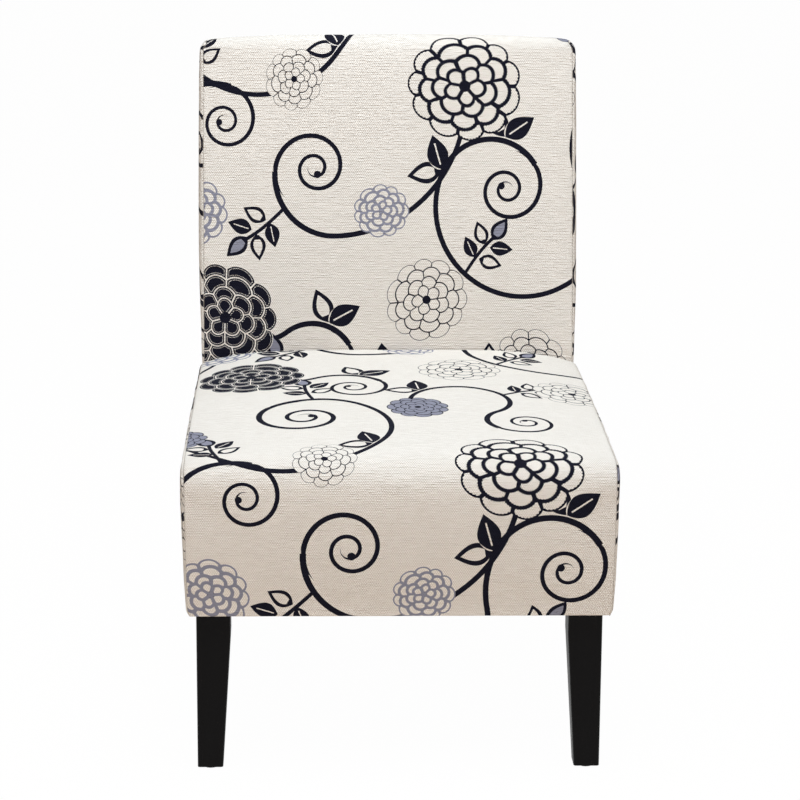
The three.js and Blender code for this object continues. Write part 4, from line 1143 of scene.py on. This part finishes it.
def make_covers():
    seat = sewn_shell(seat_form, seat_cuts)
    back = sewn_shell(back_form, back_cuts)
    for bm, weight, seed in ((seat, seat_weight, 2.0), (back, back_weight, 7.0)):
        hold(bm, weight)
        sink(bm)
        swell(bm)
        sew(bm, seed)
        settle(bm, seed)
    wide = SEAT_HALF_WIDTH - HEM - GAP
    front = Y_SHIFT + HEM + GAP
    rear = Y_SHIFT + BACK_FRONT + BACK_FOOT_THICKNESS - HEM - GAP
    along_hem = ((-1, -1, 0), (1, 1, HEM_LEVEL + GAP))
    behind_seat = ((-1, Y_SHIFT + SEAT_DEPTH - REAR_SLACK, HEM_LEVEL + 2 * GAP), (1, 1, 1))
    tail_wide = SEAT_HALF_WIDTH - SEAT_REAR_TAPER - SIDE_RETURN
    cover_piece(
        seat, STRIP, "seat_cloth_top", "seat_cover_top",
        [
            (*along_hem, (0, HEM, 0), (wide, (-1, 1)), (0, -HEM)),
            (*behind_seat, (0, -CLOTH, -SEAT_TAIL), (tail_wide, (-1, 1)), (0, SEAT_TAIL)),
        ],
    )
    cover_piece(back, STRIP, "back_cloth_front", "back_cover_front")
    for side, panel, inward in (("left", SIDE_LEFT, -HEM), ("right", SIDE_RIGHT, HEM)):
        tucked = math.copysign(SIDE_RETURN, inward)
        cover_piece(
            seat, panel, f"seat_cloth_side_{side}", f"seat_cover_side_{side}",
            [
                (*along_hem, (inward, 0, 0), (1, (front, 1)), (0, -HEM)),
                (*behind_seat, (tucked, 0, 0), (1, (-1, 1)), (-tucked, 0)),
            ],
        )
        cover_piece(
            back, panel, f"back_cloth_side_{side}", f"back_cover_side_{side}",
            [(*along_hem, (inward, 0, 0), (1, (-1, rear)), (0, -HEM))],
        )
    cover_piece(
        back, REAR, "back_cloth_rear", "back_cover_rear",
        [(*along_hem, (0, -HEM, 0), (wide, (-1, 1)), (0, -HEM))],
    )
    seat.free()
    back.free()


make_covers()


# Soft parts inside and under the chair, made from the solids that they stand for
FOAM_VOXEL = 0.006
FOAM_DRAW_IN = 0.0045
FOAM_SMOOTHINGS = 2
FOAM_SMOOTHING = 0.5
FOAM_UNEVEN = (0.0006, 60)  # how uneven a foam is, and its waves a metre
SHARP_ANGLE = 1.0
PAD_ROUNDING = 0.001
WEBBING_ROUNDING = 0.0004
DUST_CLOTH_CUTS = 24
DUST_CLOTH_SAG = (0.0003, 25)
STAPLE_INSET = 0.008  # from the dust cloth's edge
STAPLE_PITCH = 0.045
STAPLE_CROWN = 0.010
STAPLE_WIRE = 0.0006


def merged_copy(node):
    """A solid's mesh with its loose triangles joined."""
    bm = bmesh.new()
    bm.from_mesh(frame["nodes"][node].data)
    bmesh.ops.remove_doubles(bm, verts=bm.verts, dist=GAP / 10)
    return bm


def remeshed(bm, voxel):
    """The same solid in small even faces."""
    piece = mesh_in_scene("remeshing", bm)
    bm.free()
    modifier = piece.modifiers.new("even", "REMESH")
    modifier.mode = "VOXEL"
    modifier.voxel_size = voxel
    even = bmesh.new()
    even.from_object(piece, bpy.context.evaluated_depsgraph_get())
    discard(piece)
    return even


def make_foams():
    uneven, waves = FOAM_UNEVEN
    for node, name in (("seat_foam", "seat_foam_block"), ("back_foam", "back_foam_block")):
        bm = remeshed(merged_copy(node), FOAM_VOXEL)
        for _ in range(FOAM_SMOOTHINGS):
            bmesh.ops.smooth_vert(
                bm, verts=bm.verts, factor=FOAM_SMOOTHING,
                use_axis_x=True, use_axis_y=True, use_axis_z=True,
            )
        bm.normal_update()
        for vertex in bm.verts:
            vertex.co -= vertex.normal * (FOAM_DRAW_IN + uneven * noise.noise(vertex.co * waves))
        for face in bm.faces:
            face.smooth = True
        new_piece(name, bm, "foam", node)


def round_edges(bm, width):
    """Takes the sharpness off a solid's edges."""
    sharp = [
        edge for edge in bm.edges if edge.is_manifold and edge.calc_face_angle() > SHARP_ANGLE
    ]
    bmesh.ops.bevel(
        bm, geom=sharp, offset=width, affect="EDGES", segments=2, profile=0.5, material=-1
    )


def make_pad():
    bm = merged_copy("spring_pad")
    round_edges(bm, PAD_ROUNDING)
    new_piece("spring_felt", bm, "felt", "spring_pad")


def make_webbing():
    for number in range(1, 5):
        node = f"back_webbing_{number}"
        bm = merged_copy(node)
        round_edges(bm, WEBBING_ROUNDING)
        piece = new_piece(f"back_strap_{number}", bm, "webbing", node)


def make_dust_cloth():
    bm = merged_copy("dust_cover")
    low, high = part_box("dust_cover")
    for axis in (0, 1):
        for share in ramp(DUST_CLOTH_CUTS)[1:-1]:
            place, normal = [0, 0, 0], [0, 0, 0]
            place[axis] = mix(low[axis], high[axis], share)
            normal[axis] = 1
            geometry = bm.verts[:] + bm.edges[:] + bm.faces[:]
            bmesh.ops.bisect_plane(
                bm, geom=geometry, plane_co=place, plane_no=normal, dist=GAP / 10
            )
    sag, waves = DUST_CLOTH_SAG
    for vertex in bm.verts:
        flat_place = Vector((vertex.co.x, vertex.co.y, 0))
        vertex.co.z -= sag * abs(noise.noise(flat_place * waves))
    piece = new_piece("dust_cloth_sheet", bm, "dust_cloth", "dust_cover")


def make_staples():
    """Staples that hold the dust cloth to the rails, all in one mesh."""
    bm = bmesh.new()
    low, high = (Vector(corner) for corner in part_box("dust_cover"))
    for axis, other in ((0, 1), (1, 0)):
        start, end = low[axis] + STAPLE_INSET, high[axis] - STAPLE_INSET
        count = round((high[axis] - low[axis] - 2 * STAPLE_INSET) / STAPLE_PITCH)
        size = [STAPLE_WIRE, STAPLE_WIRE, STAPLE_WIRE, 1]
        size[axis] = STAPLE_CROWN
        for edge in (low[other] + STAPLE_INSET, high[other] - STAPLE_INSET):
            for share in ramp(count)[1:-1]:
                place = Vector((0, 0, low.z - STAPLE_WIRE))
                place[axis] = mix(start, end, share)
                place[other] = edge
                staple = Matrix.Translation(place) @ Matrix.Diagonal(size)
                bmesh.ops.create_cube(bm, size=1, matrix=staple)
    bmesh.ops.bevel(
        bm, geom=bm.edges[:], offset=STAPLE_WIRE / 4, affect="EDGES", segments=1, profile=0.5,
        material=-1,
    )
    new_piece("dust_cloth_staples", bm, "steel")


make_foams()
make_pad()
make_webbing()
make_dust_cloth()
make_staples()


# Stage, lamps and camera
WHITE = (1, 1, 1, 1)
FLOOR_SIZE = 40
FLOOR_COLOUR = (0.93, 0.84, 0.75, 1)
FLOOR_GLOW = 0.985  # how white the floor looks, without its light on the chair
SKY_COLOUR = (1, 0.80, 0.66, 1)
SKY_STRENGTH = 0.185
LAMPS = {  # place, target, size, power, colour
    "top_softbox": ((0, -0.9, 3.2), (0, 0, 0.4), (2.6, 2.2), 127, (0.79, 0.90, 1)),
    "front_fill": ((-0.6, -3.6, 1.2), (0, 0, 0.4), (2.4, 1.6), 8, (1, 0.55, 0.30)),
    "rear_fill": ((0.8, 3.6, 2.2), (0, 0, 0.5), (2.4, 1.6), 14, (0.85, 0.93, 1)),
}
SENSOR_WIDTH = 36
FOCUS = 2771.7 / 800  # in widths of the picture
CAMERA_SHIFT = 0.06875
CAMERA_PLACE = (-0.1214, -3.3544, 1.3319)  # from the seat's front
CAMERA_TURNS = ((-0.869, "Z"), (76.005, "X"), (0.103, "Z"))


def stage_finish():
    finish = Finish(bpy.data.materials.new("white_floor"))
    matt = finish.node("ShaderNodeBsdfDiffuse", {}, {"Color": FLOOR_COLOUR})
    glow = finish.node("ShaderNodeEmission", {}, {"Color": WHITE, "Strength": 1.0})
    values = {0: finish.seen_white() * FLOOR_GLOW, 1: matt, 2: glow}
    return finish.end(finish.node("ShaderNodeMixShader", {}, values))


def make_stage():
    bm = bmesh.new()
    bmesh.ops.create_grid(bm, x_segments=2, y_segments=2, size=FLOOR_SIZE)
    floor = mesh_in_scene("studio_floor", bm)
    bm.free()
    floor.data.materials.append(stage_finish())


def make_world():
    world = bpy.data.worlds.new("studio")
    bpy.context.scene.world = world
    sky = Finish(world)
    values = {"Color": SKY_COLOUR, "Strength": SKY_STRENGTH}
    soft = sky.node("ShaderNodeBackground", {}, values)
    white = sky.node("ShaderNodeBackground", {}, {"Color": WHITE})
    both = sky.node("ShaderNodeMixShader", {}, {0: sky.seen_white(), 1: soft, 2: white})
    sky.end(both, "ShaderNodeOutputWorld")


def make_lamps():
    for name, (place, target, size, power, colour) in LAMPS.items():
        lamp = bpy.data.lights.new(name, "AREA")
        lamp.shape = "RECTANGLE"
        lamp.size, lamp.size_y = size
        lamp.energy = power
        lamp.color = colour
        stand = in_scene(name, lamp)
        stand.location = place
        way = Vector(target) - Vector(place)
        stand.rotation_euler = way.to_track_quat("-Z", "Y").to_euler()


def make_camera():
    """The photo's camera, as the fit to its outline gives it."""
    camera = bpy.data.cameras.new("camera")
    camera.sensor_width = SENSOR_WIDTH
    camera.lens = FOCUS * SENSOR_WIDTH
    camera.shift_x = CAMERA_SHIFT
    stand = in_scene("camera", camera)
    x, y, z = CAMERA_PLACE
    stand.location = (x, y + Y_SHIFT, z)
    turned = Matrix.Identity(3)
    for angle, axis in CAMERA_TURNS:
        turned = turned @ Matrix.Rotation(math.radians(angle), 3, axis)
    stand.rotation_euler = turned.to_euler()
    bpy.context.scene.camera = stand


make_stage()
make_world()
make_lamps()
make_camera()
bpy.context.scene.view_settings.view_transform = "Standard"
